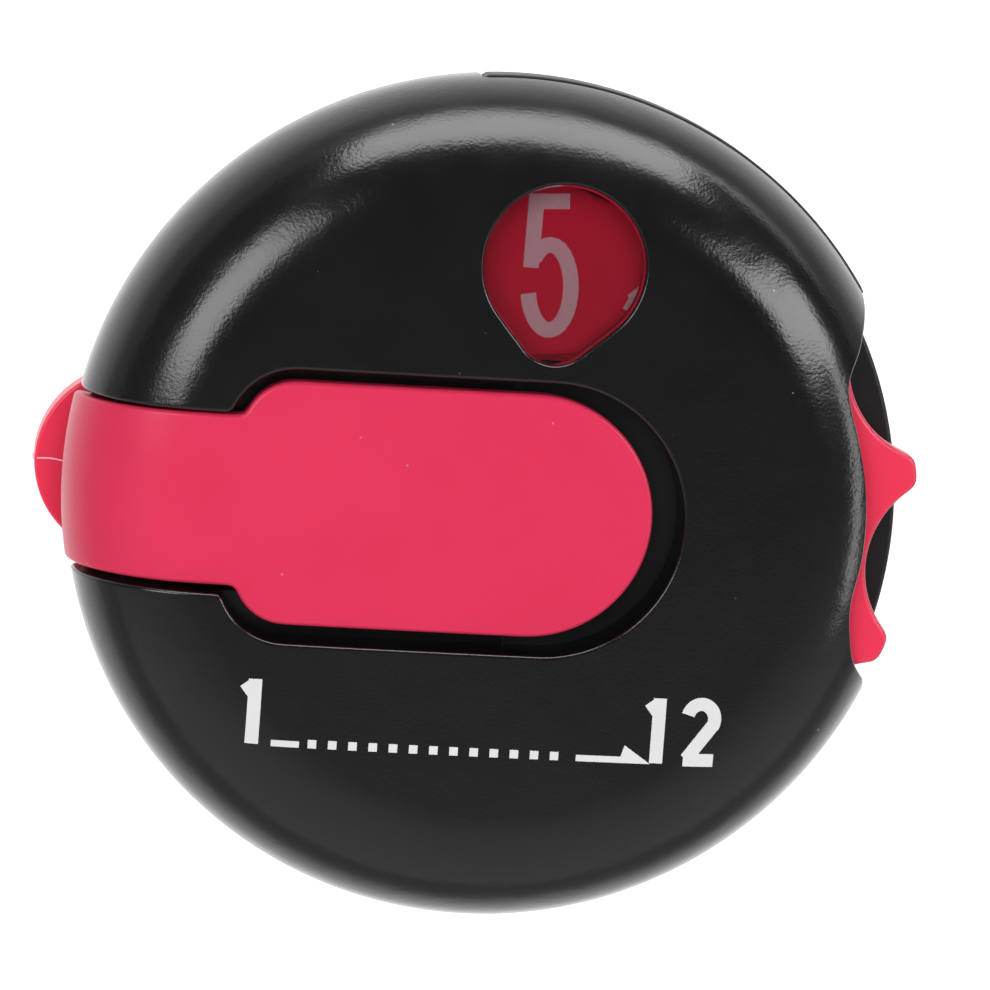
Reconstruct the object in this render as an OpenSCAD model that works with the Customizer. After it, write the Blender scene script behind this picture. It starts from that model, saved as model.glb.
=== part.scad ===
// Hand tally counter: a round pocket counter for 1 to 12, with a thumb wheel and a one-touch reset.
// It lies on its clip: +Z is the way the face looks, +X points to the thumb wheel and +Y to the
// window. The origin is on the case axis, in the plane the counter rests on. Millimetres.

/* [Case] */
// outside diameter of the round case
case_d = 40; // [38:0.5:42]
// height of the parting plane, where the two shells meet
part_z = 7.4; // [7.2:0.1:7.6]
// height of the outside of the back
back_z = 3.6; // [3.5:0.1:3.7]
// thickness of the domed wall
wall_t = 1.5; // [1.3:0.1:1.6]
// radius of the dark deck that shows in the thumb notch
deck_r = 19.1; // [18.8:0.1:19.3]

/* [Count wheel] */
// distance of the wheel axle from the case axis
wheel_x = 3.3; // [3.1:0.1:3.5]
// radius at the tips of the finger teeth
tip_r = 16.6; // [16.2:0.1:16.7]
// radius of each finger scallop between two teeth
scallop_r = 4.33; // [4:0.01:4.6]
// height of the front face of the wheel
wheel_top = 9.2; // [9.1:0.05:9.25]
// height of one number on the wheel
digit_h = 6.7; // [6:0.1:7]

/* [Window] */
// radius of the round part of the window
window_r = 3.8; // [3.5:0.1:4]
// distance of the pointed end of the window from the middle of its round part
nose_reach = 4.6; // [4.4:0.1:4.9]

/* [Reset button] */
// half the width of the paddle
paddle_half = 5.7; // [5.3:0.1:5.8]
// gap between the paddle and its opening, along the sides
paddle_gap = 0.7; // [0.5:0.1:0.8]
// half the width of the neck that wraps over the rim
neck_half = 4; // [3.8:0.1:4.1]

/* [Clip] */
// thickness of the clip plate
clip_t = 1.7; // [1.5:0.1:1.7]
// reach of the jaw tip from the case axis
jaw_x = 14; // [12:0.5:15]
// width of the jaw
jaw_w = 12; // [10:0.5:13]

/* [Hidden] */

$fn = 96;
far = 60;
snug = 0.05;
case_r = case_d / 2;

// The dome is a shallow crown that runs tangent into a rounded shoulder.
crown_r = 240;
shoulder_r = 6.25;
shoulder_x = case_r - shoulder_r;
shoulder_z = part_z - 1.05;
skirt_z = 5.8;

// The button has a dome of its own: lower in the middle, a little proud at the rim.
button_shoulder_r = 6;
button_proud = 0.2;
button_shoulder_x = case_r + button_proud - button_shoulder_r;
button_shoulder_z = shoulder_z - 0.4;
button_t = 1.1;
button_foot_z = skirt_z + 0.2;

// Rear shell
lip_r = case_r - wall_t - 0.2;
base_r = case_r - 0.6;
back_round = 1.2;
floor_z = 4.8;
notch_top_angle = 31;
notch_low_angle = -23.6;
band_angle = 93.6;
well_r = 10.2;

// Wheel
tooth_count = 12;
first_tooth = 8;
wheel_t = 1.4;
scallop_x = 18.5;
recess_r = 7.6;
web_top = 9;
hub_r = 3.2;
hub_bottom = 7.6;
wheel_bottom = wheel_top - wheel_t;
wheel_clear_r = tip_r + 0.4;
print_t = 0.04;
digit_ring = 11.25;
digit_lean = -7.5;
digit_stroke = 0.72;
five_angle = 97.5;
axle_r = 1.5;
lug_ring = 9;
lug_r = 0.8;
lug_low = 7.45;
stop_pin_r = 0.7;
stop_pin_low = 4;
stop_pin_top = 7.7;
stop_pin_angle = -45;
lug_angle = 180;

// Ratchet and return spring
ratchet_tip = 6.6;
ratchet_root = 5.7;
ratchet_first = 176;
ratchet_bottom = 6.5;
ratchet_top = 7.5;
arbor_r = 2.3;
arbor_bottom = 5.3;
key_r = 2.4;
spring_bottom = 5.4;
spring_top = 6.3;
spring_turns = 4;
spring_out = 5.5;

// Hub stack
washer_bottom = 9.02;
cover_bottom = 9.22;
cover_top = 9.75;
cover_r = 7;
screw_head_r = 1.5;

// Pawl
pawl_pivot = [-10.5, -5.6];
pawl_tail = [-16.6, -3.4];
pawl_nose = [-4.1, -2.35];
pawl_low = 5;
pawl_shelf = 5.9;
pawl_top = 7.4;
pawl_pin_r = 0.7;
tail_boss_r = 0.7;
spring_post = [-10.6, 0.9];

// Button pivot
pivot_x = -16;
pivot_z = 9.2;
button_pin_r = 0.7;
leg_t = 1;
leg_face = pawl_tail[0] + tail_boss_r + 0.03;
lug_in = 4.6;
lug_out = 6.1;

// Ledges under the gaps beside the paddle
ledge_in = 5.25;
ledge_out = 7.3;
ledge_left = -12.4;
ledge_right = 0.5;
ledge_low = 9.8;
ledge_top = 10;

// Window
window_at = [2.33, 11.75];
nose_angle = -96.25;
nose_r = 1.8;

// Clip
clip_axis = [-8, 2.2];
clip_pin_r = 0.75;
knuckle_r = 1.3;
ear_r = 4.5;
ear_x = -21.35;
plate_half = 4.5;
ridge_r = 1.6;

// Case screws
screw_ring = 16.5;
screw_angles = [122, -122];
boss_r = 1.7;

// ------------------------------------------------------------------ shared shapes

// Half section of a dome whose crown is tangent to its shoulder, from z = low upward.
module dome_half(shoulder, sx, sz, low) {
    span = crown_r - shoulder;
    crown_z = sz - sqrt(span * span - sx * sx);
    meet = crown_r * sx / span;
    top = crown_z + crown_r;
    intersection() {
        translate([0, low]) square([far, top - low]);
        union() {
            intersection() {
                translate([0, crown_z]) circle(crown_r, $fn = 256);
                square([meet, top + 1]);
            }
            translate([sx, sz]) circle(shoulder);
            square([sx + shoulder, sz]);
            square([sx, sz + shoulder * cos(asin((meet - sx) / shoulder)) - 0.01]);
        }
    }
}

// Solid under the case dome, grown by the amount given.
module case_dome(grow, low) {
    rotate_extrude() dome_half(shoulder_r + grow, shoulder_x, shoulder_z, low);
}

// Solid under the button's own dome, grown by the amount given.
module button_dome(grow, low) {
    rotate_extrude() dome_half(button_shoulder_r + grow, button_shoulder_x, button_shoulder_z, low);
}

// Wedge of the plane between two angles, less than a half turn apart.
module wedge(from, to) {
    polygon([[0, 0], far * [cos(from), sin(from)],
        far * [cos((from + to) / 2), sin((from + to) / 2)] * 1.2, far * [cos(to), sin(to)]]);
}

// Straight bar with round ends between two points of the plane.
module bar(p, q, w) {
    d = q - p;
    translate(p) rotate(atan2(d[1], d[0])) translate([0, -w / 2]) square([norm(d), w]);
    translate(p) circle(w / 2);
    translate(q) circle(w / 2);
}

// Rod between two points of the x-z plane that runs along y from y0 to y1.
module cross_rod(at, r, y0, y1) {
    translate([at[0], y1, at[1]]) rotate([90, 0, 0]) cylinder(r = r, h = y1 - y0);
}

// ------------------------------------------------------------------ thumb notch

// Points of a smooth curve through the points given.
function smooth(p, steps) = [for (i = [1:len(p) - 3]) for (k = [0:steps - 1])
    let (t = k / steps, a = p[i - 1], b = p[i], c = p[i + 1], d = p[i + 2])
    0.5 * ((2 * b) + (c - a) * t + (2 * a - 5 * b + 4 * c - d) * t * t
        + (3 * b - a - 3 * c + d) * t * t * t)];

visor_r = 13.85;
visor_points = concat(
    [[19.4, 12.2], [17.8, 9.9], [16.75, 8.1], [16, 6.3]],
    [for (a = [16:-8:-16]) [wheel_x + visor_r * cos(a), visor_r * sin(a)]],
    [[16.75, -5.6], [17.15, -6.9], [18.2, -8.15], [20, -9.3]]);

// Everything of the front shell to the right of this edge is cut away.
module notch_plan() {
    polygon(concat(smooth(visor_points, 5), [[18.2, -8.15], [far, -8.15], [far, 9.9]]));
}

// ------------------------------------------------------------------ button plan

module paddle_plan(grow, right_grow) {
    end_r = paddle_half + grow;
    right = 7 + right_grow;
    corner = 2.3 + grow * 0.7;
    left = -12.2 - grow * 0.7;
    translate([right - end_r, 0]) circle(end_r);
    translate([left + corner, -end_r]) square([right - end_r - left - corner, 2 * end_r]);
    for (s = [-1, 1]) translate([left + corner, s * (end_r - corner)]) circle(corner);
    translate([left, corner - end_r]) square([corner, 2 * (end_r - corner)]);
}

module neck_plan(grow) {
    translate([-far, -neck_half - grow]) square([far - 10, 2 * (neck_half + grow)]);
}

// ------------------------------------------------------------------ front shell

// Outline of the window: a round part and a small round nose, joined by straight tangents.
module window_plan(grow) {
    along = nose_reach - nose_r;
    lean = acos((window_r - nose_r) / along);
    nose = along * [cos(nose_angle), sin(nose_angle)];
    steps = 40;
    nose_steps = 10;
    polygon(concat(
        [for (k = [0:steps]) let (a = nose_angle + lean + (360 - 2 * lean) * k / steps)
            (window_r + grow) * [cos(a), sin(a)]],
        [for (k = [0:nose_steps]) let (a = nose_angle - lean + 2 * lean * k / nose_steps)
            nose + (nose_r + grow) * [cos(a), sin(a)]]));
}

// Solids inside the dome: the wall round the button opening, the screw bosses and the pin lugs.
module shell_fittings() {
    translate([0, 0, ledge_low + 0.1]) linear_extrude(far) difference() {
        paddle_plan(paddle_gap + 1, 2.4);
        paddle_plan(paddle_gap, 1.4);
        neck_plan(0.35);
    }
    for (a = screw_angles) rotate(a) translate([screw_ring, 0, part_z + 0.05]) cylinder(r = boss_r, h = far);
    for (s = [-1, 1]) {
        pivot_lug(s);
        side_ledge(s);
    }
}

// Thin ledge under the gap beside the paddle: it hides the wheel there.
module side_ledge(s) {
    y0 = s > 0 ? ledge_in : -ledge_out;
    translate([ledge_left, y0, ledge_low]) cube([ledge_right - ledge_left, ledge_out - ledge_in, ledge_top - ledge_low]);
}

// Lug inside the dome that carries one end of the button pin.
module pivot_lug(s) {
    y0 = s > 0 ? lug_in : -lug_out;
    translate([pivot_x - 1.5, y0, pivot_z - 1.5]) cube([3, lug_out - lug_in, 5]);
}

module front_shell() {
    color("#151515") difference() {
        union() {
            rotate_extrude() difference() {
                dome_half(shoulder_r, shoulder_x, shoulder_z, skirt_z);
                dome_half(shoulder_r - wall_t, shoulder_x, shoulder_z, skirt_z - 1);
            }
            intersection() {
                case_dome(-wall_t / 2, skirt_z);
                shell_fittings();
            }
        }
        // the wheel turns in here
        translate([wheel_x, 0, part_z - 0.1])
            cylinder(r = wheel_clear_r, h = wheel_top + 0.2 - part_z);
        translate([0, 0, ledge_top]) linear_extrude(far) paddle_plan(paddle_gap, 1.4);
        translate([0, 0, skirt_z - 1]) linear_extrude(far) neck_plan(0.35);
        translate([window_at[0], window_at[1], part_z]) linear_extrude(far) window_plan(0);
        translate([0, 0, skirt_z - 1]) linear_extrude(far) notch_plan();
        // the short skirt on the upper right leaves the rear shell's band in view
        translate([0, 0, skirt_z - 1]) linear_extrude(part_z + 1 - skirt_z)
            wedge(notch_low_angle, band_angle);
        for (a = screw_angles) rotate(a) translate([screw_ring, 0, part_z - 0.1])
            cylinder(r = 0.85, h = 3.2);
        cross_rod([pivot_x, pivot_z], button_pin_r, -lug_out - 0.5, lug_out + 0.5);
    }
}

// Clear pane that fills the window.
module window_lens() {
    pane_low = 10.9;
    pane_top = 12.2;
    color("#d8e0e6") translate([window_at[0], window_at[1], pane_low])
        linear_extrude(pane_top - pane_low) window_plan(-0.02);
}

// ------------------------------------------------------------------ strokes and numbers

function unit(v) = v / norm(v);
function across(v) = [-v[1], v[0]];
function tangent(p, i) = i == 0 ? unit(p[1] - p[0])
    : i == len(p) - 1 ? unit(p[i] - p[i - 1])
    : unit(unit(p[i] - p[i - 1]) + unit(p[i + 1] - p[i]));
function spread(p, i, d) = i == 0 || i == len(p) - 1 ? d
    : d / max(0.5, tangent(p, i) * unit(p[i + 1] - p[i]));

// A line of the width given along a path of points, with flat ends.
module stroke(p, w) {
    polygon(concat(
        [for (i = [0:len(p) - 1]) p[i] - across(tangent(p, i)) * spread(p, i, w / 2)],
        [for (i = [len(p) - 1:-1:0]) p[i] + across(tangent(p, i)) * spread(p, i, w / 2)]));
}

// A closed line of the width given round an oval.
module oval(c, rx, ry, w) {
    difference() {
        polygon([for (k = [0:23]) c + [(rx + w / 2) * cos(15 * k), (ry + w / 2) * sin(15 * k)]]);
        polygon([for (k = [0:23]) c + [(rx - w / 2) * cos(15 * k), (ry - w / 2) * sin(15 * k)]]);
    }
}

// Points of an elliptical arc from one angle to another.
function bow(c, rx, ry, from, to) =
    [for (k = [0:12]) let (a = from + (to - from) * k / 12) c + [rx * cos(a), ry * sin(a)]];

// Centre lines of the open strokes of each digit, in a box from -1 to 1 across and up.
function digit_paths(d) =
    d == 1 ? [[[0.2, 1], [0.2, -1]], [[-0.7, 0.6], [0.15, 0.84]]]
    : d == 2 ? [bow([0, 0.42], 0.82, 0.48, 165, -30), [[0.74, 0.24], [-0.74, -0.86]], [[-0.92, -0.89], [0.92, -0.89]]]
    : d == 3 ? [concat(bow([-0.02, 0.46], 0.76, 0.44, 155, -80), [[-0.3, 0.02]]),
        bow([-0.02, -0.43], 0.84, 0.46, 100, -155)]
    : d == 4 ? [[[0.42, -1], [0.42, 0.86]], [[0.42, 0.86], [-0.8, -0.46]], [[-0.95, -0.5], [0.98, -0.5]]]
    : d == 5 ? [[[0.8, 0.89], [-0.6, 0.89], [-0.78, 0.06]], bow([-0.02, -0.3], 0.86, 0.59, 142, -148)]
    : d == 6 ? [concat(bow([0.02, 0.36], 0.84, 0.53, 30, 170), [[-0.85, -0.36]])]
    : d == 7 ? [[[-0.88, 0.89], [0.84, 0.89], [-0.2, -1]]]
    : d == 9 ? [concat(bow([-0.02, -0.36], 0.84, 0.53, 210, 350), [[0.85, 0.36]])]
    : [];

// Middle and half sizes of the closed ovals of each digit.
function digit_ovals(d) =
    d == 0 ? [[0, 0, 0.86, 0.9]]
    : d == 6 ? [[0, -0.36, 0.84, 0.53]]
    : d == 8 ? [[0, 0.46, 0.74, 0.43], [0, -0.42, 0.86, 0.47]]
    : d == 9 ? [[0, 0.36, 0.84, 0.53]]
    : [];

module digit(d, w, h, line) {
    rx = w / 2 - 0.4 * line;
    ry = h / 2;
    for (p = digit_paths(d)) stroke([for (q = p) [q[0] * rx, q[1] * ry]], line);
    for (o = digit_ovals(d)) oval([o[0] * rx, o[1] * ry], o[2] * rx, o[3] * ry, line);
}

// One or two raised digits side by side, centred.
module raised_number(n, w, h, line) {
    if (n < 10) linear_extrude(print_t) digit(n, w, h, line);
    else {
        narrow = 0.65;
        translate([-0.45 * w, 0, 0]) linear_extrude(print_t) digit(1, w / 2, h, line * narrow);
        translate([0.2 * w, 0, 0]) linear_extrude(print_t) digit(n % 10, w * 0.7, h, line * narrow);
    }
}

module legend_plan() {
    base_y = -11.2;
    line = 0.62;
    translate([-11.35, base_y + 1.55]) digit(1, 1.6, 3.1, line);
    translate([8.9, base_y + 1.55]) {
        translate([-1, 0]) digit(1, 1.6, 3.1, line);
        translate([0.85, 0]) digit(2, 1.9, 3.1, line);
    }
    translate([-10.3, base_y - 0.05]) square([1.3, 0.3]);
    for (i = [0:12]) translate([-8.6 + 0.94 * i, base_y - 0.05]) square([0.4, 0.4]);
    translate([3.9, base_y - 0.05]) square([2.6, 0.3]);
    translate([5.9, base_y - 0.05]) polygon([[0, 0], [1.5, 0], [0.15, 0.85]]);
}

module front_legend() {
    color("#f4f4f4") difference() {
        intersection() {
            case_dome(print_t, skirt_z);
            translate([0, 0, part_z]) linear_extrude(far) legend_plan();
        }
        case_dome(0, skirt_z - 1);
    }
}

// ------------------------------------------------------------------ rear shell

module rear_base_half() {
    intersection() {
        translate([0, back_z]) square([base_r, skirt_z - back_z]);
        union() {
            translate([0, back_z]) square([base_r - back_round, far]);
            translate([0, back_z + back_round]) square([base_r, far]);
            translate([base_r - back_round, back_z + back_round]) circle(back_round);
        }
    }
}

// Floor plan of the well for the ratchet, the return spring and the pawl.
module well_plan() {
    translate([wheel_x, 0]) circle(well_r);
    intersection() {
        circle(lip_r - 0.25);
        translate([-far, -8]) square([far, 12]);
    }
}

module clip_lugs() {
    for (s = [-1, 1]) translate([0, s * 5.6, 0]) {
        cross_rod(clip_axis, knuckle_r, -0.6, 0.6);
        translate([clip_axis[0] - knuckle_r, -0.6, clip_axis[1]])
            cube([2 * knuckle_r, 1.2, back_z + 0.2 - clip_axis[1]]);
    }
}

module rear_shell() {
    color("#1b1b1b") difference() {
        union() {
            difference() {
                union() {
                    rotate_extrude() rear_base_half();
                    translate([0, 0, skirt_z - 0.01]) cylinder(r = lip_r, h = part_z - skirt_z + 0.01);
                    translate([0, 0, skirt_z - 0.01]) linear_extrude(part_z - skirt_z - 0.02)
                        intersection() {
                            circle(case_r);
                            wedge(notch_top_angle, band_angle);
                        }
                    translate([0, 0, skirt_z - 0.01]) linear_extrude(part_z - skirt_z + 0.01)
                        intersection() {
                            circle(deck_r);
                            wedge(notch_low_angle, notch_top_angle);
                        }
                }
                // the rim steps back to the deck all the way down the thumb notch
                difference() {
                    translate([0, 0, back_z - 1]) linear_extrude(far) wedge(notch_low_angle, notch_top_angle);
                    cylinder(r = deck_r, h = far);
                }
                translate([0, 0, floor_z]) linear_extrude(far) well_plan();
                // cores that keep the deck thin, out of sight under the front shell
                for (a = [55:23:101], s = [-1, 1])
                    rotate(s * a) translate([wheel_x + 11.2 - a * 0.012, 0, floor_z]) cylinder(r = 1.8, h = far);
                for (a = screw_angles) rotate(a) translate([screw_ring, 0, 0]) {
                    cylinder(r = 1.9, h = floor_z + 0.2);
                    cylinder(r = 1, h = far);
                }
            }
            // boss under the ratchet, post for the spring's outer end, seats of the pins
            translate([wheel_x, 0, floor_z - 0.1]) cylinder(r = 2.4, h = 0.5);
            translate([wheel_x + spring_out + 0.85, 0, floor_z - 0.1]) cylinder(r = 0.6, h = 1.7);
            translate([pawl_pivot[0], pawl_pivot[1], floor_z - 0.1]) cylinder(r = 1.3, h = 0.25);
            translate([spring_post[0], spring_post[1], floor_z - 0.1]) cylinder(r = 0.7, h = 2.6);
            clip_lugs();
        }
        translate([wheel_x, 0, back_z + 0.3]) cylinder(r = 1.1, h = far);
        translate([pawl_pivot[0], pawl_pivot[1], back_z + 0.4]) cylinder(r = pawl_pin_r, h = far);
        rotate_about_wheel(stop_pin_angle) translate([lug_ring, 0, stop_pin_low])
            cylinder(r = stop_pin_r, h = far);
        cross_rod(clip_axis, clip_pin_r, -far, far);
    }
}

module rotate_about_wheel(a) {
    translate([wheel_x, 0, 0]) rotate(a) children();
}

module stop_pin() {
    color("#c9ccd0") rotate_about_wheel(stop_pin_angle)
        translate([lug_ring, 0, stop_pin_low]) cylinder(r = stop_pin_r, h = stop_pin_top - stop_pin_low);
}

// Two screws from the back, with a cross recess in each head.
module case_screws() {
    color("#c2c5ca") for (a = screw_angles) rotate(a) translate([screw_ring, 0, back_z + 0.15])
        difference() {
            union() {
                cylinder(r = 1.7, h = 1.25);
                cylinder(r = 0.8, h = 6.5);
            }
            for (t = [0, 90]) rotate(t) translate([-1, -0.18, -0.1]) cube([2, 0.36, 0.6]);
        }
}

// ------------------------------------------------------------------ count wheel

// Outline of the wheel: round tips between finger scallops.
module wheel_plan() {
    difference() {
        circle(tip_r);
        for (i = [0:tooth_count - 1]) rotate(first_tooth + 15 + 30 * i)
            translate([scallop_x, 0]) circle(scallop_r);
    }
}

module count_wheel() {
    color("#d92b50") translate([wheel_x, 0, 0]) difference() {
        union() {
            translate([0, 0, wheel_bottom]) linear_extrude(wheel_t) wheel_plan();
            translate([0, 0, hub_bottom]) cylinder(r = hub_r, h = wheel_bottom + 0.1 - hub_bottom);
            rotate(lug_angle) translate([lug_ring, 0, lug_low])
                cylinder(r = lug_r, h = wheel_bottom + 0.1 - lug_low);
        }
        translate([0, 0, web_top]) cylinder(r = recess_r, h = far);
        translate([0, 0, hub_bottom - 1]) cylinder(r = axle_r + snug, h = far);
        translate([0, 0, hub_bottom - 0.1]) cylinder(r = key_r + 0.02, h = 0.8, $fn = 6);
    }
}

// Numbers that lie on the wheel, one over each tooth, read with their tops outward.
module wheel_numerals() {
    color("#e8dfe2") translate([wheel_x, 0, wheel_top])
        for (n = [1:tooth_count]) rotate(five_angle + 30 * (n - 5) - 90)
            translate([0, digit_ring, 0]) rotate(digit_lean) raised_number(n, 2.8, digit_h, digit_stroke);
}

// ------------------------------------------------------------------ ratchet and return spring

module ratchet_plan() {
    polygon([for (i = [0:tooth_count - 1]) for (p = [[0, ratchet_tip], [1.5, ratchet_root], [15, ratchet_root + 0.38]])
        p[1] * [cos(ratchet_first + 30 * i + p[0]), sin(ratchet_first + 30 * i + p[0])]]);
}

module ratchet_wheel() {
    color("#e9e6dc") translate([wheel_x, 0, 0]) difference() {
        union() {
            translate([0, 0, ratchet_bottom]) linear_extrude(ratchet_top - ratchet_bottom) ratchet_plan();
            translate([0, 0, arbor_bottom]) cylinder(r = arbor_r, h = ratchet_bottom - arbor_bottom + 0.1);
            translate([0, 0, ratchet_top - 0.1]) cylinder(r = key_r, h = 0.75, $fn = 6);
        }
        translate([0, 0, arbor_bottom - 1]) cylinder(r = axle_r + snug, h = far);
    }
}

// Flat spiral strip from the arbor out to its post.
module return_spring() {
    strip = 0.16;
    steps = 48 * spring_turns;
    inner = arbor_r + 0.12;
    function ring(k, d) = let (a = 360 * spring_turns * k / steps, r = inner + (spring_out - inner) * k / steps + d)
        r * [cos(a), sin(a)];
    color("#8f949b") translate([wheel_x, 0, spring_bottom]) linear_extrude(spring_top - spring_bottom)
        polygon(concat([for (k = [0:steps]) ring(k, 0)], [for (k = [steps:-1:0]) ring(k, strip)]));
}

// ------------------------------------------------------------------ hub stack

module wheel_axle() {
    color("#d5d7da") translate([wheel_x, 0, 0]) difference() {
        union() {
            translate([0, 0, back_z + 0.3]) cylinder(r = 1.1, h = 2);
            translate([0, 0, arbor_bottom - 0.1]) cylinder(r = axle_r, h = cover_bottom - arbor_bottom + 0.08);
        }
        translate([0, 0, cover_bottom - 2.2]) cylinder(r = 0.7, h = 3);
    }
}

module thrust_washer() {
    color("#e3e4e6") translate([wheel_x, 0, washer_bottom]) difference() {
        cylinder(r = 2.6, h = 0.16);
        translate([0, 0, -1]) cylinder(r = axle_r + snug, h = 3);
    }
}

// Black cap that holds the wheel down and closes the middle of the case under the paddle.
module hub_cover() {
    color("#141414") translate([wheel_x, 0, 0]) difference() {
        translate([0, 0, cover_bottom]) cylinder(r = cover_r, h = cover_top - cover_bottom);
        translate([0, 0, cover_bottom - 1]) cylinder(r = 0.85, h = 3);
        translate([0, 0, cover_top - 0.3]) cylinder(r = screw_head_r + 0.05, h = 3);
    }
}

module axle_screw() {
    color("#c2c5ca") translate([wheel_x, 0, 0]) difference() {
        union() {
            translate([0, 0, cover_top - 0.3]) cylinder(r = screw_head_r, h = 0.28);
            translate([0, 0, cover_bottom - 1.9]) cylinder(r = 0.7, h = 2.2);
        }
        translate([-1, -0.15, cover_top - 0.2]) cube([2, 0.3, 1]);
    }
}

// ------------------------------------------------------------------ pawl

module pawl() {
    color("#e9e6dc") difference() {
        union() {
            translate([pawl_pivot[0], pawl_pivot[1], pawl_low]) cylinder(r = 1.6, h = pawl_top - pawl_low);
            translate([0, 0, pawl_low]) linear_extrude(pawl_shelf - pawl_low) bar(pawl_pivot, pawl_tail, 1.4);
            translate([pawl_tail[0], pawl_tail[1], pawl_low]) cylinder(r = tail_boss_r, h = 2.2);
            translate([0, 0, ratchet_bottom]) linear_extrude(pawl_top - ratchet_bottom)
                bar(pawl_pivot, pawl_nose, 1.6);
        }
        translate([pawl_pivot[0], pawl_pivot[1], 0]) cylinder(r = pawl_pin_r + snug, h = far);
        translate([0, 0, ratchet_bottom - 0.1]) linear_extrude(2) leaf_plan(0.01);
    }
}

// The click leaf: seated in the nose of the pawl, its free end stands under a ratchet tooth.
module leaf_plan(grow) {
    stroke([[-5.6, -3.1], [-4.1, -2], [-2.85, 0.15]], 0.24 + 2 * grow);
}

module pawl_leaf() {
    color("#aeb3b8") translate([0, 0, ratchet_bottom + 0.05]) linear_extrude(pawl_top - ratchet_bottom - 0.1)
        leaf_plan(0);
}

module pawl_pin() {
    color("#c9ccd0") translate([pawl_pivot[0], pawl_pivot[1], back_z + 0.4])
        cylinder(r = pawl_pin_r, h = pawl_top + 0.1 - back_z - 0.4);
}

module pawl_spring() {
    color("#aeb3b8") translate([0, 0, ratchet_bottom + 0.1]) linear_extrude(0.7) difference() {
        union() {
            translate(spring_post) circle(1);
            stroke([[-10.2, 0.05], [-8.4, -0.6], [-7.3, -1.6], [-6.95, -2.62]], 0.22);
        }
        translate(spring_post) circle(0.72);
    }
}

// ------------------------------------------------------------------ reset button

module button_plan() {
    paddle_plan(0, 0);
    neck_plan(0);
}

module reset_button() {
    color("#e4385e") difference() {
        union() {
            intersection() {
                difference() {
                    button_dome(0, button_foot_z);
                    button_dome(-button_t, button_foot_z - 1);
                }
                translate([0, 0, button_foot_z - 1]) linear_extrude(far) button_plan();
            }
            intersection() {
                button_dome(-button_t / 2, 5);
                for (y0 = [-3.9, 1.9]) translate([pivot_x - 1.5, y0, pivot_z]) cube([3, 2, 4]);
            }
            for (y0 = [-3.9, 1.9]) cross_rod([pivot_x, pivot_z], 1.5, y0, y0 + 2);
            // leg that reaches down past the wheel and pushes the pawl's tail
            translate([leg_face, -3.9, 6.05]) cube([leg_t, 2, pivot_z - 6.05]);
            translate([leg_face, -5.3, 6.05]) cube([leg_t, 3, 1.2]);
        }
        cross_rod([pivot_x, pivot_z], button_pin_r + snug, -far, far);
    }
}

module button_pin() {
    color("#c9ccd0") cross_rod([pivot_x, pivot_z], button_pin_r, -lug_out + 0.2, lug_out - 0.2);
}

// Row of touching wire rings round a cross pin: a close-wound coil.
module coil(at, r, wire, y0, turns) {
    for (i = [0:turns - 1]) translate([at[0], y0 + i * wire * 1.9, at[1]]) rotate([90, 0, 0])
        rotate_extrude() translate([r, 0]) circle(wire, $fn = 24);
}

module wire_leg(p, y, q, wire) {
    d = q - p;
    translate([p[0], y, p[1]]) rotate([0, 90 - atan2(d[1], d[0]), 0]) cylinder(r = wire, h = norm(d), $fn = 24);
}

module button_spring() {
    wire = 0.18;
    ring_r = 0.95;
    leg_x = ring_r - 0.02;
    color("#aeb3b8") {
        coil([pivot_x, pivot_z], ring_r, wire, -1.3, 8);
        wire_leg([pivot_x + leg_x, pivot_z], -1.28, [pivot_x + 1.2, pivot_z + 1.2], wire * 0.9);
        wire_leg([pivot_x - leg_x, pivot_z], 1.08, [pivot_x - 1.2, part_z + 0.1], wire * 0.9);
    }
}

// ------------------------------------------------------------------ clip

module clip_plan() {
    translate([ear_x + ear_r, 0]) circle(ear_r);
    translate([ear_x + ear_r, -plate_half]) square([jaw_x - 3 - ear_x - ear_r, 2 * plate_half]);
    for (s = [-1, 1]) translate([jaw_x - 3, s * (jaw_w / 2 - 3)]) circle(3);
    translate([jaw_x - 3, 3 - jaw_w / 2]) square([3, jaw_w - 6]);
    translate([3, -jaw_w / 2]) square([jaw_x - 6, jaw_w]);
}

module clip_lever() {
    color("#d92b50") difference() {
        union() {
            linear_extrude(clip_t) clip_plan();
            for (s = [-1, 1]) translate([0, s * 3.9, 0]) {
                cross_rod(clip_axis, knuckle_r, -0.6, 0.6);
                translate([clip_axis[0] - knuckle_r, -0.6, 0.9]) cube([2 * knuckle_r, 1.2, 1.3]);
            }
            // gripping ridge under the case, at the tip of the jaw
            translate([jaw_x - 2.1, 4, back_z - 0.05 - ridge_r]) rotate([90, 0, 0]) cylinder(r = ridge_r, h = 8);
        }
        translate([clip_axis[0] - 2, -2.8, -1]) cube([4, 5.6, 4]);
        for (s = [-1, 1]) translate([clip_axis[0] - 1.6, s * 5.6 - 1.1, -1]) cube([3.2, 2.2, 4]);
        cross_rod(clip_axis, clip_pin_r + snug, -far, far);
    }
}

module clip_pin() {
    color("#c9ccd0") cross_rod(clip_axis, clip_pin_r, -6.2, 6.2);
}

module clip_spring() {
    wire = 0.2;
    color("#aeb3b8") {
        coil(clip_axis, 1, wire, -1.9, 11);
        wire_leg([clip_axis[0] - 0.2, clip_axis[1] + 1], -1.9, [clip_axis[0] - 1.9, back_z - 0.25], wire);
    }
}

front_shell();
window_lens();
front_legend();
rear_shell();
stop_pin();
case_screws();
count_wheel();
wheel_numerals();
ratchet_wheel();
wheel_axle();
thrust_washer();
hub_cover();
axle_screw();
return_spring();
pawl();
pawl_leaf();
pawl_pin();
pawl_spring();
reset_button();
button_pin();
button_spring();
clip_lever();
clip_pin();
clip_spring();
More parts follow.
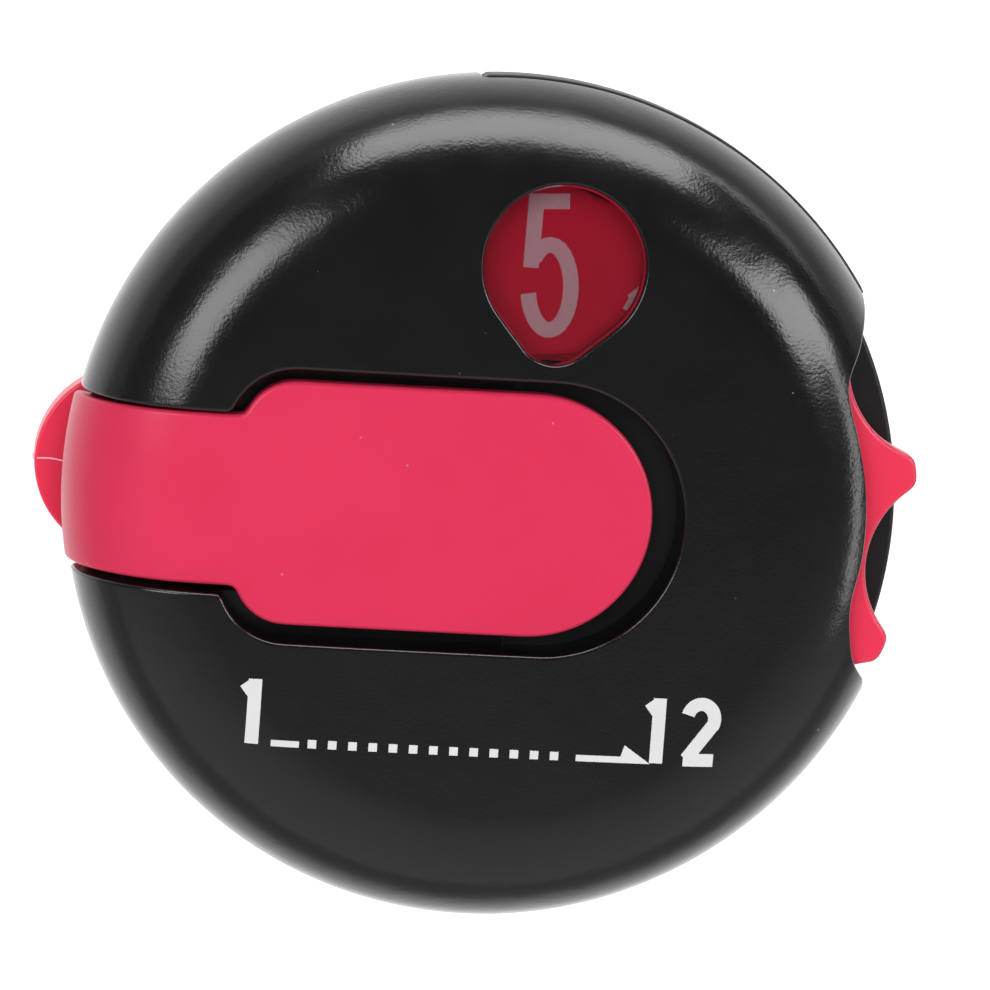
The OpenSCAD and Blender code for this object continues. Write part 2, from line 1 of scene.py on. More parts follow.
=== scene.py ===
"""Looks of the hand tally counter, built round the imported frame. Sizes here are millimetres in the
row frame, turned into metres when a mesh is made. +Z is the way the face looks, +X points to the
thumb wheel and +Y to the number window."""

import math

import bpy
import numpy as np
from mathutils import Matrix, Vector
from mathutils.geometry import delaunay_2d_cdt


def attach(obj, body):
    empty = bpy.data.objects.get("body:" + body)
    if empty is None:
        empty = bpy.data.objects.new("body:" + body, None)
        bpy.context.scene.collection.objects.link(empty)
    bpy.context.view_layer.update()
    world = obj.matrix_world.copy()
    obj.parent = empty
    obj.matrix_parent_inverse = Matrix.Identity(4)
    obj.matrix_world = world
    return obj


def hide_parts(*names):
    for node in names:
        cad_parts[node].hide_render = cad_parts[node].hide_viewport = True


MM = 0.001

# ---- sizes shared with the frame
CASE_R = 20.0
PART_Z = 7.4
SKIRT_Z = 5.8
BACK_Z = 3.6
FLOOR_Z = 4.8
WALL = 1.5
CROWN_R = 240.0
SHOULDER_R = 6.25
SHOULDER_Z = PART_Z - 1.05
BUTTON_SHOULDER_R = 6.0
BUTTON_PROUD = 0.2
BUTTON_SHOULDER_Z = SHOULDER_Z - 0.4
BUTTON_T = 1.1
BUTTON_FOOT_Z = SKIRT_Z + 0.2
BUTTON_LEG_X = (-15.87, -14.87)
DECK_R = 19.1
LIP_R = CASE_R - WALL - 0.1
LIP_INNER_R = LIP_R - 0.4
BASE_R = CASE_R - 0.6
NOTCH_LOW = -25.4
NOTCH_TOP = 31.0
BAND_TOP = 93.6
WHEEL_X = 3.3
WHEEL_TOP = 9.2
WHEEL_T = 1.4
TEETH = 12
TOOTH_PITCH = 360 / TEETH
TIP_R = 16.62
SCALLOP_R = 4.6
SCALLOP_X = 19.05
FIRST_TOOTH = 7.4
RECESS_R = 7.15
WELL_R = 10.2
WINDOW_AT = (2.33, 11.75)
WINDOW_R = 3.77
NOSE_R = 1.8
NOSE_REACH = 4.6
NOSE_ANGLE = -96.25
PADDLE_HALF = 5.7
PADDLE_RIGHT = 7.0
PADDLE_GAP = 0.7
END_GAP = 1.4
NECK_HALF = 4.0
NECK_GAP = 0.24
CORNER_AT = (-9.85, 3.25)
CORNER_R = 2.45
WALL_ROUND_OPENING = (9.95, 11.6, 0.9)
PIVOT_X = -16.0
PIVOT_Z = 9.2
EAR_R = 4.5
EAR_X = -21.35
JAW_X = 14.0
JAW_HALF = 6.0
CLIP_T = 1.7
CLIP_AXIS = (-8.0, 2.2)
CLIP_KNUCKLE_R = 1.3
CLIP_KNUCKLE_T = 1.2
CASE_KNUCKLE_Y = 5.6
PLATE_KNUCKLE_Y = 3.9
SCREW_RING = 16.5
SCREW_ANGLES = (122, -122)
SCREW_HEAD_R = 1.7
SCREW_PROUD = 0.03
PRINT_T = 0.035
STROKE_STEP_DOWN = 0.003
DIGIT_LEAN = math.radians(-4.7)
WINDOW_ANGLE = 96.4
NUMBER_AT_REST = 5
LEGEND_Y = -11.2
BOSS_TOP = 9.4
LEDGE_X = (-13.6, 0.5)
LEDGE_Z = (9.8, 10.0)
LEDGE_CORNER_X = -10.9
PADDLE_TURN = math.radians(-1.35)
PADDLE_SHIFT = 0.07
HINGE_SHIFT = 0.4
VISOR_R = 13.85
VISOR_LOWER = ((20, -9.3), (18.2, -8.15), (17.15, -6.9), (16.75, -5.6))
VISOR_UPPER = ((16.0, 6.3), (16.65, 8.1), (17.1, 9.9), (17.3, 12.2))
PANE_SUNK = 0.15
PANE_T = 0.5


# ---- curved and flat skins
def pairs(x, y):
    """One row (x, y) for each point."""
    return np.stack([x, y], 1)


class Dome:
    """A shallow crown that runs tangent into a round shoulder and then straight down.
    Points of it are flattened to (u, v): the distance along the surface from the pole, at the
    same angle round the axis."""

    def __init__(self, shoulder_r, rim_r, shoulder_z):
        self.shoulder_r = shoulder_r
        self.shoulder_x = rim_r - shoulder_r
        self.shoulder_z = shoulder_z
        span = CROWN_R - shoulder_r
        self.crown_z = shoulder_z - math.sqrt(span * span - self.shoulder_x**2)
        self.meet = math.asin(self.shoulder_x / span)
        self.s1 = CROWN_R * self.meet
        self.s2 = self.s1 + shoulder_r * (math.pi / 2 - self.meet)

    def s_at_z(self, z):
        """Distance along the surface of a point of the straight skirt or the shoulder."""
        if z <= self.shoulder_z:
            return self.s2 + self.shoulder_z - z
        lean = math.acos((z - self.shoulder_z) / self.shoulder_r)
        return self.s1 + self.shoulder_r * (lean - self.meet)

    def place(self, uv):
        uv = np.asarray(uv, float)
        s = np.hypot(uv[:, 0], uv[:, 1])
        turn = np.arctan2(uv[:, 1], uv[:, 0])
        lean = np.where(s < self.s1, s / CROWN_R, self.meet + (s - self.s1) / self.shoulder_r)
        lean = np.minimum(lean, math.pi / 2)
        on_crown = s < self.s1
        across, up = np.sin(lean), np.cos(lean)
        r = np.where(on_crown, CROWN_R * across, self.shoulder_x + self.shoulder_r * across)
        z = np.where(on_crown, self.crown_z + CROWN_R * up, self.shoulder_z + self.shoulder_r * up)
        z = np.where(s > self.s2, self.shoulder_z - (s - self.s2), z)
        cos, sin = np.cos(turn), np.sin(turn)
        points = np.stack([r * cos, r * sin, z], 1)
        normals = np.stack([across * cos, across * sin, up], 1)
        return points, normals

    def flatten(self, points):
        """(u, v) of 3-D points on or near the surface."""
        points = np.asarray(points, float)
        r = np.hypot(points[:, 0], points[:, 1])
        turn = np.arctan2(points[:, 1], points[:, 0])
        z = points[:, 2]
        crown_lean = np.arctan2(r, z - self.crown_z)
        shoulder_lean = np.arctan2(r - self.shoulder_x, z - self.shoulder_z)
        s = np.where(crown_lean < self.meet, CROWN_R * crown_lean,
                     self.s1 + self.shoulder_r * (shoulder_lean - self.meet))
        s = np.where((z < self.shoulder_z) & (crown_lean >= self.meet), self.s2 + self.shoulder_z - z, s)
        return pairs(s * np.cos(turn), s * np.sin(turn))

    def flatten_plan(self, xy):
        """(u, v) of points given by their x and y only."""
        xy = np.asarray(xy, float)
        r = np.hypot(xy[:, 0], xy[:, 1])
        turn = np.arctan2(xy[:, 1], xy[:, 0])
        reach = np.clip((r - self.shoulder_x) / self.shoulder_r, -1, 1)
        on_crown = r < CROWN_R * math.sin(self.meet)
        s = np.where(on_crown, CROWN_R * np.arcsin(r / CROWN_R),
                     self.s1 + self.shoulder_r * (np.arcsin(reach) - self.meet))
        return pairs(s * np.cos(turn), s * np.sin(turn))


class Flat:
    """A level plane that faces up or down, with the same two ways as Dome."""

    def __init__(self, z, up=True):
        self.z = z
        self.up = up

    def place(self, uv):
        uv = np.asarray(uv, float)
        z = np.full(len(uv), self.z)
        side = 1.0 if self.up else -1.0
        x = uv[:, 0] if self.up else -uv[:, 0]
        normals = np.tile([0.0, 0.0, side], (len(uv), 1))
        return np.stack([x, uv[:, 1], z], 1), normals

    def flatten(self, points):
        points = np.asarray(points, float)
        x = points[:, 0] if self.up else -points[:, 0]
        return pairs(x, points[:, 1])


def unit(v):
    return v / np.maximum(np.linalg.norm(v, axis=-1, keepdims=True), 1e-12)


def resample(loop, step):
    """The same closed line with points evenly spaced along it."""
    loop = np.asarray(loop, float)
    closed = np.vstack([loop, loop[:1]])
    length = np.concatenate([[0], np.cumsum(np.linalg.norm(np.diff(closed, axis=0), axis=1))])
    count = max(8, int(round(length[-1] / step)))
    at = np.linspace(0, length[-1], count, endpoint=False)
    return np.stack([np.interp(at, length, closed[:, k]) for k in (0, 1)], 1)


def soften(loop, sigma, step):
    """Rounds the corners of a closed line: even fine points, a Gaussian blur, then wider points."""
    per_sigma = 4
    fine = resample(loop, sigma / per_sigma)
    shifts = np.arange(-3 * per_sigma, 3 * per_sigma + 1)
    weights = np.exp(-0.5 * (shifts / float(per_sigma)) ** 2)
    weights /= weights.sum()
    out = sum(w * np.roll(fine, -k, axis=0) for w, k in zip(weights, shifts))
    return resample(out, step)


def inside(points, loops):
    """Which points lie inside the loops taken together, holes left out."""
    hit = np.zeros(len(points), bool)
    x, y = points[:, 0], points[:, 1]
    for loop in loops:
        x1, y1 = loop[:, 0], loop[:, 1]
        x2, y2 = np.roll(x1, -1), np.roll(y1, -1)
        for a, b, c, d in zip(x1, y1, x2, y2):
            if b != d:
                hit ^= ((b > y) != (d > y)) & (x < (c - a) * (y - b) / (d - b) + a)
    return hit


def fill_points(loops, step):
    """Points spread over the inside of the loops in a triangle pattern, kept off their edges."""
    row_gap = 0.87
    edge_gap = 0.5
    spots_at_once = 2000
    edges_at_once = 500
    everything = np.vstack(loops)
    low, high = everything.min(0), everything.max(0)
    rows = np.arange(low[1], high[1], step * row_gap)
    spots = []
    for n, y in enumerate(rows):
        xs = np.arange(low[0] + (n % 2) * step / 2, high[0], step)
        spots.append(pairs(xs, np.full(len(xs), y)))
    spots = np.vstack(spots)
    spots = spots[inside(spots, loops)]
    keep = np.ones(len(spots), bool)
    for start in range(0, len(spots), spots_at_once):
        some = spots[start:start + spots_at_once]
        near = np.full(len(some), np.inf)
        for first in range(0, len(everything), edges_at_once):
            edge = everything[first:first + edges_at_once]
            gap = np.linalg.norm(some[:, None] - edge[None], axis=2).min(1)
            near = np.minimum(near, gap)
        keep[start:start + spots_at_once] = near > step * edge_gap
    return spots[keep]


def triangles_in(loops, spots):
    """Triangles over the region the loops bound, as indices into the stacked points."""
    points = np.vstack([*loops, spots]) if len(spots) else np.vstack(loops)
    edges = []
    start = 0
    for loop in loops:
        n = len(loop)
        edges += [(start + k, start + (k + 1) % n) for k in range(n)]
        start += n
    verts, _, faces, origins, *_ = delaunay_2d_cdt([Vector(p) for p in points], edges, [], 0, 1e-7, True)
    back = [o[0] if o else -1 for o in origins]
    faces = [f for f in faces if len(f) == 3 and min(back[k] for k in f) >= 0]
    centres = np.array([[sum(verts[k][c] for k in f) / 3 for c in (0, 1)] for f in faces])
    within = inside(centres, loops)
    out = []
    for f, good in zip(faces, within):
        if good:
            a, b, c = (back[k] for k in f)
            pa, pb, pc = points[a], points[b], points[c]
            turn = (pb[0] - pa[0]) * (pc[1] - pa[1]) - (pb[1] - pa[1]) * (pc[0] - pa[0])
            out.append((a, b, c) if turn > 0 else (a, c, b))
    return points, out


class Shape:
    """Collects vertices and faces with a normal for each face corner."""

    def __init__(self):
        self.verts = []
        self.faces = []
        self.normals = []

    def points(self, pts):
        start = len(self.verts)
        self.verts += [tuple(p) for p in np.asarray(pts, float)]
        return np.arange(start, len(self.verts))

    def face(self, corners, normals=None):
        self.faces.append(tuple(int(c) for c in corners))
        self.normals.append(normals)

    def strip(self, a, b, na, nb):
        """Quads between two closed rings. Ring b lies on the right of ring a's way round."""
        n = len(a)
        for k in range(n):
            j = (k + 1) % n
            self.face((a[j], a[k], b[k], b[j]), (na[j], na[k], nb[k], nb[j]))

    def make(self, name, material, body):
        """The piece as an object that rides on a body."""
        mesh = bpy.data.meshes.new(name)
        mesh.from_pydata([tuple(c * MM for c in v) for v in self.verts], [], self.faces)
        mesh.polygons.foreach_set("use_smooth", [True] * len(mesh.polygons))
        mesh.update()
        loops = []
        for face, normals in zip(mesh.polygons, self.normals):
            if normals is None:
                loops += [tuple(face.normal)] * len(face.vertices)
            else:
                loops += [tuple(unit(np.asarray(n, float))) for n in normals]
        mesh.normals_split_custom_set(loops)
        mesh.materials.append(material)
        obj = bpy.data.objects.new(name, mesh)
        bpy.context.scene.collection.objects.link(obj)
        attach(obj, body)
        return obj


def skin(shape, surface, loops, thick, fillet, step, arc=4, round_back=False, thin=None, down=None):
    """A sheet on a surface, bounded by loops that keep the material on their left. Its front edges
    are rounded, its back lies one thickness below, thin(points, normals, thick) can hold it back and
    down(points, normals) can turn the way its walls go."""
    inner_loops = []
    edges = []
    for loop in loops:
        p, n = surface.place(loop)
        along = unit(np.roll(p, -1, 0) - np.roll(p, 1, 0))
        out = unit(np.cross(along, n))
        inner_loops.append(surface.flatten(p - fillet * out))
        edges.append(out)
    spots = fill_points(inner_loops, step)
    uv, tris = triangles_in(inner_loops, spots)
    p, n = surface.place(uv)
    front = shape.points(p)
    for a, b, c in tris:
        shape.face((front[a], front[b], front[c]), (n[a], n[b], n[c]))
    depth = np.full(len(p), float(thick)) if thin is None else thin(p, n, thick)
    below = n if down is None else down(p, n)
    back_points = p - below * depth[:, None]
    back = shape.points(back_points)
    for a, b, c in tris:
        shape.face((back[c], back[b], back[a]), (-n[c], -n[b], -n[a]))
    start = 0
    for out, loop in zip(edges, inner_loops):
        count = len(loop)
        pick = np.arange(start, start + count)
        q, qn, qd, d = p[pick], n[pick], below[pick], depth[pick]
        ring, ring_n = front[pick], qn
        for k in range(1, arc + 1):
            a = math.pi / 2 * k / arc
            normal = qn * math.cos(a) + out * math.sin(a)
            now = shape.points(q - fillet * qn + fillet * normal)
            shape.strip(ring, now, ring_n, normal)
            ring, ring_n = now, normal
        if round_back:
            for k in range(0, arc):
                a = math.pi / 2 * k / arc
                normal = out * math.cos(a) - qn * math.sin(a)
                now = shape.points(q - (d[:, None] - fillet) * qn + fillet * normal)
                shape.strip(ring, now, ring_n if k else out, normal)
                ring, ring_n = now, normal
            shape.strip(ring, back[pick], ring_n, -qn)
        else:
            low = shape.points(q + fillet * out - d[:, None] * qd)
            shape.strip(ring, low, out, out)
            shape.strip(low, back[pick], -qn, -qn)
        start += count


def around(x, y, r, turn):
    """Points of a circle at the given angles in radians."""
    return pairs(x + r * np.cos(turn), y + r * np.sin(turn))


def circle_loop(x, y, r, step=0.3, hole=False):
    count = max(16, int(2 * math.pi * r / step))
    turn = np.linspace(0, 2 * math.pi, count, endpoint=False)
    return around(x, y, r, -turn if hole else turn)


def screw_spots():
    """Where the two case screws sit."""
    return [(SCREW_RING * math.cos(math.radians(a)), SCREW_RING * math.sin(math.radians(a)))
            for a in SCREW_ANGLES]


def arc_points(x, y, r, start, end, step=0.25):
    count = max(3, int(abs(math.radians(end - start)) * r / step))
    return around(x, y, r, np.radians(np.linspace(start, end, count)))


def rod(shape, at, axis, r, length, edge=0.1, sides=40):
    """A solid rod with slightly rounded ends, centred at a point."""
    axis = unit(np.asarray(axis, float))
    side = unit(np.cross(axis, [0, 0, 1.0]) if abs(axis[2]) < 0.9 else np.cross(axis, [1.0, 0, 0]))
    third = np.cross(axis, side)
    turn = np.linspace(0, 2 * math.pi, sides, endpoint=False)
    ring_dir = np.cos(turn)[:, None] * side + np.sin(turn)[:, None] * third
    at = np.asarray(at, float)
    half = length / 2
    profile = [(0.0, half, 0, 1)]
    for k in range(4):
        a = math.pi / 2 * k / 3
        radial, axial = math.sin(a), math.cos(a)
        profile.append((r - edge + edge * radial, half - edge + edge * axial, radial, axial))
    profile += [(q[0], -q[1], q[2], -q[3]) for q in reversed(profile)]
    rings = []
    for radius, height, radial, axial in profile:
        rings.append((shape.points(at + ring_dir * max(radius, 0.001) + axis * height),
                      ring_dir * radial + axis * axial))
    for (a, na), (b, nb) in zip(rings, rings[1:]):
        shape.strip(a, b, na, nb)


def block(shape, low, high, edge=0.15):
    """A box with bevelled edges between two opposite corners."""
    (x0, y0, z0), (x1, y1, z1) = low, high
    loop = soften([(x0, y0), (x1, y0), (x1, y1), (x0, y1)], edge, edge * 1.5)
    skin(shape, Flat(z1), [loop], z1 - z0, edge, 5.0, arc=3, round_back=True)


# ---- outlines
def smooth_curve(points, steps):
    """A smooth curve through points: the first and last only set its direction."""
    p = np.asarray(points, float)
    out = []
    for i in range(1, len(p) - 2):
        for k in range(steps):
            t = k / steps
            a, b, c, d = p[i - 1], p[i], p[i + 1], p[i + 2]
            out.append(0.5 * (2 * b + (c - a) * t + (2 * a - 5 * b + 4 * c - d) * t * t
                              + (3 * b - a - 3 * c + d) * t**3))
    out.append(p[-2])
    return np.array(out)


def visor_edge():
    """The wavy edge of the face over the thumb wheel, from its lower end to its upper end."""
    middle = around(WHEEL_X, 0, VISOR_R, np.radians(np.arange(-16, 17, 8)))
    return smooth_curve([*VISOR_LOWER, *middle, *VISOR_UPPER], 6)


def turn_plan(points, shift=0.0):
    """Plan points turned a little about the case axis, the way the paddle and its slot sit."""
    points = np.asarray(points, float)
    c, s = math.cos(PADDLE_TURN), math.sin(PADDLE_TURN)
    x = c * points[:, 0] - s * points[:, 1]
    y = s * points[:, 0] + c * points[:, 1] + shift
    return pairs(x, y)


def opening_side(grow, right, half, sign):
    """Upper or lower edge of the paddle or its opening, from the neck to the right end's middle."""
    x, y = CORNER_AT
    r = CORNER_R + grow
    neck = NECK_HALF + (NECK_GAP if grow else 0)
    start = 180 - math.degrees(math.asin((neck - y) / r))
    corner = arc_points(x, y, r, start, 90)
    end = arc_points(right - half, 0, half, 90, 0)
    path = np.vstack([corner, end])
    path[:, 1] *= sign
    return path


def opening_edges(grow, end_grow):
    """Upper and lower edge of the paddle or, when grown, of its opening."""
    right, half = PADDLE_RIGHT + end_grow, PADDLE_HALF + grow
    return [opening_side(grow, right, half, sign) for sign in (1, -1)]


def slot_side(dome, half_width, x_to, z_foot, sign):
    """Flattened points of a slot wall on the dome, from the foot of the skirt inward to x_to."""
    s_foot = dome.s_at_z(z_foot)
    r_to = math.hypot(x_to, half_width)
    s_to = dome.flatten_plan([(r_to, 0)])[0][0]
    s = np.linspace(s_foot, s_to, 60)
    r = dome.place(pairs(s, 0 * s))[0][:, 0]
    turn = math.pi - np.arcsin(half_width / r)
    return pairs(s * np.cos(turn), sign * s * np.sin(turn))


def rim_arc(dome, start, end, z):
    s = dome.s_at_z(z)
    return arc_points(0, 0, s, start, end)


def window_loop(grow):
    """Outline of the window, going round with the sun so that the shell lies on its left."""
    along = NOSE_REACH - NOSE_R
    lean = math.degrees(math.acos((WINDOW_R - NOSE_R) / along))
    x, y = WINDOW_AT
    nose_x = x + along * math.cos(math.radians(NOSE_ANGLE))
    nose_y = y + along * math.sin(math.radians(NOSE_ANGLE))
    big = arc_points(x, y, WINDOW_R + grow, NOSE_ANGLE + lean, NOSE_ANGLE + 360 - lean, 0.15)
    small = arc_points(nose_x, nose_y, NOSE_R + grow, NOSE_ANGLE - lean, NOSE_ANGLE + lean, 0.15)
    return np.vstack([big, small])[::-1]


# ---- materials
DUST_COLOUR = (0.55, 0.53, 0.52)
GLOW_REACH = (0.0012, 0.0004, 0.0005)
# painted shade: how dark and red the wheel looks through the window pane
PANE_PAINTED_SHADE = (0.625, 0.46, 0.495)
PANE_SHADOW = (0.97, 0.97, 0.97)


class Tree:
    """Short hand for building a node tree. A value is either a socket or plain numbers."""

    def __init__(self, tree):
        self.tree = tree

    def add(self, kind, **values):
        node = self.tree.nodes.new(kind)
        for key, value in values.items():
            if key in node.inputs:
                node.inputs[key].default_value = value
            else:
                setattr(node, key, value)
        return node

    def link(self, source, target):
        self.tree.links.new(source, target)

    def feed(self, value, socket):
        if hasattr(value, "is_output"):
            self.link(value, socket)
        else:
            socket.default_value = value

    def ramp(self, source, low, high, low_at=0.0, high_at=1.0, kind="LINEAR"):
        """Goes from low to high while the source goes from low_at to high_at."""
        node = self.add("ShaderNodeMapRange", interpolation_type=kind)
        ends = {"From Min": low_at, "From Max": high_at, "To Min": low, "To Max": high}
        for key, value in ends.items():
            node.inputs[key].default_value = value
        self.link(source, node.inputs["Value"])
        return node.outputs["Result"]

    def join(self, operation, a, b):
        node = self.add("ShaderNodeMath", operation=operation)
        self.feed(a, node.inputs[0])
        self.feed(b, node.inputs[1])
        return node.outputs[0]

    def part(self, vector, axis):
        """The X, Y or Z of a vector socket."""
        node = self.add("ShaderNodeSeparateXYZ")
        self.link(vector, node.inputs[0])
        return node.outputs[axis]

    def mix(self, factor, a, b):
        node = self.add("ShaderNodeMix", data_type="RGBA")
        self.link(factor, node.inputs["Factor"])
        for value, socket in ((a, node.inputs[6]), (b, node.inputs[7])):
            self.feed((*value, 1.0) if isinstance(value, tuple) else value, socket)
        return node.outputs[2]

    def pick(self, factor, a, b):
        """The number socket a where the factor is 0 and the number b where it is 1."""
        node = self.add("ShaderNodeMix")
        self.link(factor, node.inputs[0])
        self.link(a, node.inputs[2])
        node.inputs[3].default_value = b
        return node.outputs[0]


class Nodes(Tree):
    """The node tree of a new material."""

    def __init__(self, name):
        self.material = bpy.data.materials.new(name)
        self.material.use_nodes = True
        super().__init__(self.material.node_tree)
        self.shader = self.tree.nodes["Principled BSDF"]
        self.place = self.add("ShaderNodeTexCoord").outputs["Object"]

    def noise(self, scale, detail=3.0, rough=0.5):
        node = self.add("ShaderNodeTexNoise", Scale=scale, Detail=detail, Roughness=rough)
        self.link(self.place, node.inputs["Vector"])
        return node.outputs["Fac"]

    def level_seen_low(self):
        """1 on level tops that are seen from low down, where the gloss would glare, else 0."""
        seen = self.add("ShaderNodeNewGeometry")
        low = self.ramp(self.part(seen.outputs["Incoming"], "Z"), 1, 0, 0.45, 0.75)
        level = self.ramp(self.part(seen.outputs["Normal"], "Z"), 0, 1, 0.90, 0.99)
        return self.join("MULTIPLY", low, level)

    def clear_from_behind(self):
        """Lets the camera look through the surface from its back."""
        blend = self.add("ShaderNodeMixShader")
        self.link(self.add("ShaderNodeNewGeometry").outputs["Backfacing"], blend.inputs[0])
        self.link(self.shader.outputs[0], blend.inputs[1])
        self.link(self.add("ShaderNodeBsdfTransparent").outputs[0], blend.inputs[2])
        self.link(blend.outputs[0], self.tree.nodes["Material Output"].inputs["Surface"])

    def bump(self, height, strength, distance, under=None):
        node = self.add("ShaderNodeBump", Strength=strength, Distance=distance)
        self.link(height, node.inputs["Height"])
        if under is not None:
            self.link(under, node.inputs["Normal"])
        return node.outputs["Normal"]

    def specks(self, scale, size):
        """1 inside small round specks that are scattered sparsely, else 0."""
        cells = self.add("ShaderNodeTexVoronoi", Scale=scale)
        self.link(self.place, cells.inputs["Vector"])
        spot = self.ramp(cells.outputs["Distance"], 1.0, 0.0, size * 0.7, size)
        tint = self.add("ShaderNodeSeparateColor")
        self.link(cells.outputs["Color"], tint.inputs["Color"])
        rare = self.ramp(tint.outputs["Red"], 0.0, 1.0, 0.86, 0.88)
        return self.join("MULTIPLY", spot, rare)

    def set(self, **values):
        """Sets inputs of the material's main shader."""
        for key, value in values.items():
            self.feed(value, self.shader.inputs[key.replace("_", " ")])


def plastic(name, colour, shade, rough, peel=0.25, peel_scale=1500,
            dust=0.0, glow=0.0, painted_glow=0.0, shine=0.5):
    """Moulded plastic: a faint cloud from colour to shade, orange peel, uneven sheen, rare dust, and
    where asked for light that wanders inside (glow) or a faint glow of painted light in its own colour,
    which no lamp gives (lift)."""
    m = Nodes(name)
    cloud = m.noise(260, 4, 0.6)
    base = m.mix(m.ramp(cloud, 0, 1, 0.3, 0.7), colour, shade)
    if dust:
        base = m.mix(m.join("MULTIPLY", m.specks(900, 0.06), dust), base, DUST_COLOUR)
    fine = m.noise(peel_scale, 2, 0.5)
    wide = m.noise(420, 3, 0.5)
    normal = m.bump(wide, peel * 0.6, 0.00006)
    normal = m.bump(fine, peel, 0.000009, normal)
    smear = m.noise(150, 5, 0.65)
    calm = m.level_seen_low()
    gloss = m.ramp(smear, rough - 0.05, rough + 0.06, 0.25, 0.75)
    m.set(Base_Color=base, Roughness=m.pick(calm, gloss, 0.6), Normal=normal,
          Specular_IOR_Level=m.ramp(calm, shine, 0.03))
    # painted light: the part glows faintly in its own colour, though it is no lamp
    if painted_glow:
        m.set(Emission_Color=base, Emission_Strength=painted_glow)
    if glow:
        m.set(Subsurface_Weight=glow, Subsurface_Radius=GLOW_REACH, Subsurface_Scale=0.6)
    return m.material


def metal(name, colour, rough, grain=3000):
    """Bright steel with fine random scratches."""
    m = Nodes(name)
    scratch = m.noise(grain, 5, 0.7)
    base = m.mix(m.ramp(m.noise(400, 3), 0, 1, 0.35, 0.65), colour, tuple(c * 0.8 for c in colour))
    m.set(Base_Color=base, Metallic=1.0, Roughness=m.ramp(scratch, rough - 0.08, rough + 0.12, 0.3, 0.7),
          Normal=m.bump(scratch, 0.15, 0.000006))
    return m.material


def clear(name):
    """Clear pane: a thin gloss over a see-through body that darkens and reddens what is seen through it,
    painted shade of the window's inside, while light on its way in passes clear, so it casts next to no
    shadow.
    """
    m = Nodes(name)
    gloss = m.add("ShaderNodeBsdfGlossy", Roughness=0.08)
    gloss.inputs["Color"].default_value = (1, 1, 1, 1)
    through = m.add("ShaderNodeBsdfTransparent")
    fresnel = m.add("ShaderNodeFresnel", IOR=1.46)
    m.link(m.bump(m.noise(700, 3), 0.05, 0.00001), gloss.inputs["Normal"])
    blend = m.add("ShaderNodeMixShader")
    seen = m.add("ShaderNodeLightPath")
    # painted shade: the view through the pane is darkened, while shadow rays pass clear
    tint = m.mix(seen.outputs["Is Shadow Ray"], PANE_PAINTED_SHADE, PANE_SHADOW)
    m.link(tint, through.inputs["Color"])
    shine = m.join("MULTIPLY", fresnel.outputs[0], seen.outputs["Is Camera Ray"])
    for source, socket in zip((shine, through.outputs[0], gloss.outputs[0]), blend.inputs):
        m.link(source, socket)
    m.link(blend.outputs[0], m.tree.nodes["Material Output"].inputs["Surface"])
    m.tree.nodes.remove(m.shader)
    return m.material


# ---- pieces
def front_loops(dome):
    """Edge of the face shell, then the edge of its window."""
    slot = NECK_HALF + NECK_GAP
    upper, lower = opening_edges(PADDLE_GAP, END_GAP)
    turn = math.degrees(math.asin(slot / CASE_R))
    visor = visor_edge()
    visor = visor[np.hypot(visor[:, 0], visor[:, 1]) < CASE_R - 0.35]
    lean = math.degrees(PADDLE_TURN)
    loop = np.vstack([
        rim_arc(dome, turn - 180 + lean, NOTCH_LOW, SKIRT_Z),
        rim_arc(dome, NOTCH_LOW, NOTCH_LOW + 0.1, PART_Z)[:1],
        dome.flatten_plan(visor),
        rim_arc(dome, NOTCH_TOP, BAND_TOP, PART_Z),
        rim_arc(dome, BAND_TOP + 0.1, 180 - turn + lean, SKIRT_Z),
        turn_plan(slot_side(dome, slot, upper[0][0], SKIRT_Z, 1)[1:-1]),
        turn_plan(dome.flatten_plan(upper)),
        turn_plan(dome.flatten_plan(lower[::-1])),
        turn_plan(slot_side(dome, slot, lower[0][0], SKIRT_Z, -1)[::-1][1:-1]),
    ])
    window = dome.flatten_plan(window_loop(0))
    return [soften(loop, 0.16, 0.28), soften(window, 0.08, 0.16)]


def keep_off_wheel(p, n, thick):
    """Thins the shell from inside where the thumb wheel needs room."""
    depth = np.full(len(p), float(thick))
    for trial in np.arange(thick, 0.35, -0.05):
        q = p - n * depth[:, None]
        out = np.hypot(q[:, 0] - WHEEL_X, q[:, 1])
        bad = (out < TIP_R + 0.36) & (q[:, 2] < WHEEL_TOP + 0.3) & (q[:, 2] > PART_Z)
        depth = np.where(bad, trial, depth)
    return depth


def plumb_near_window(p, n):
    """Straight down beside the window, along the normal everywhere else."""
    gap = np.hypot(p[:, 0] - WINDOW_AT[0], p[:, 1] - WINDOW_AT[1] + 0.5)
    share = np.clip((WINDOW_R + 3.6 - gap) / 2.2, 0, 1)[:, None]
    plumb = np.stack([0 * gap, 0 * gap, 1 / n[:, 2].clip(0.3)], 1)
    return n * (1 - share) + plumb * share


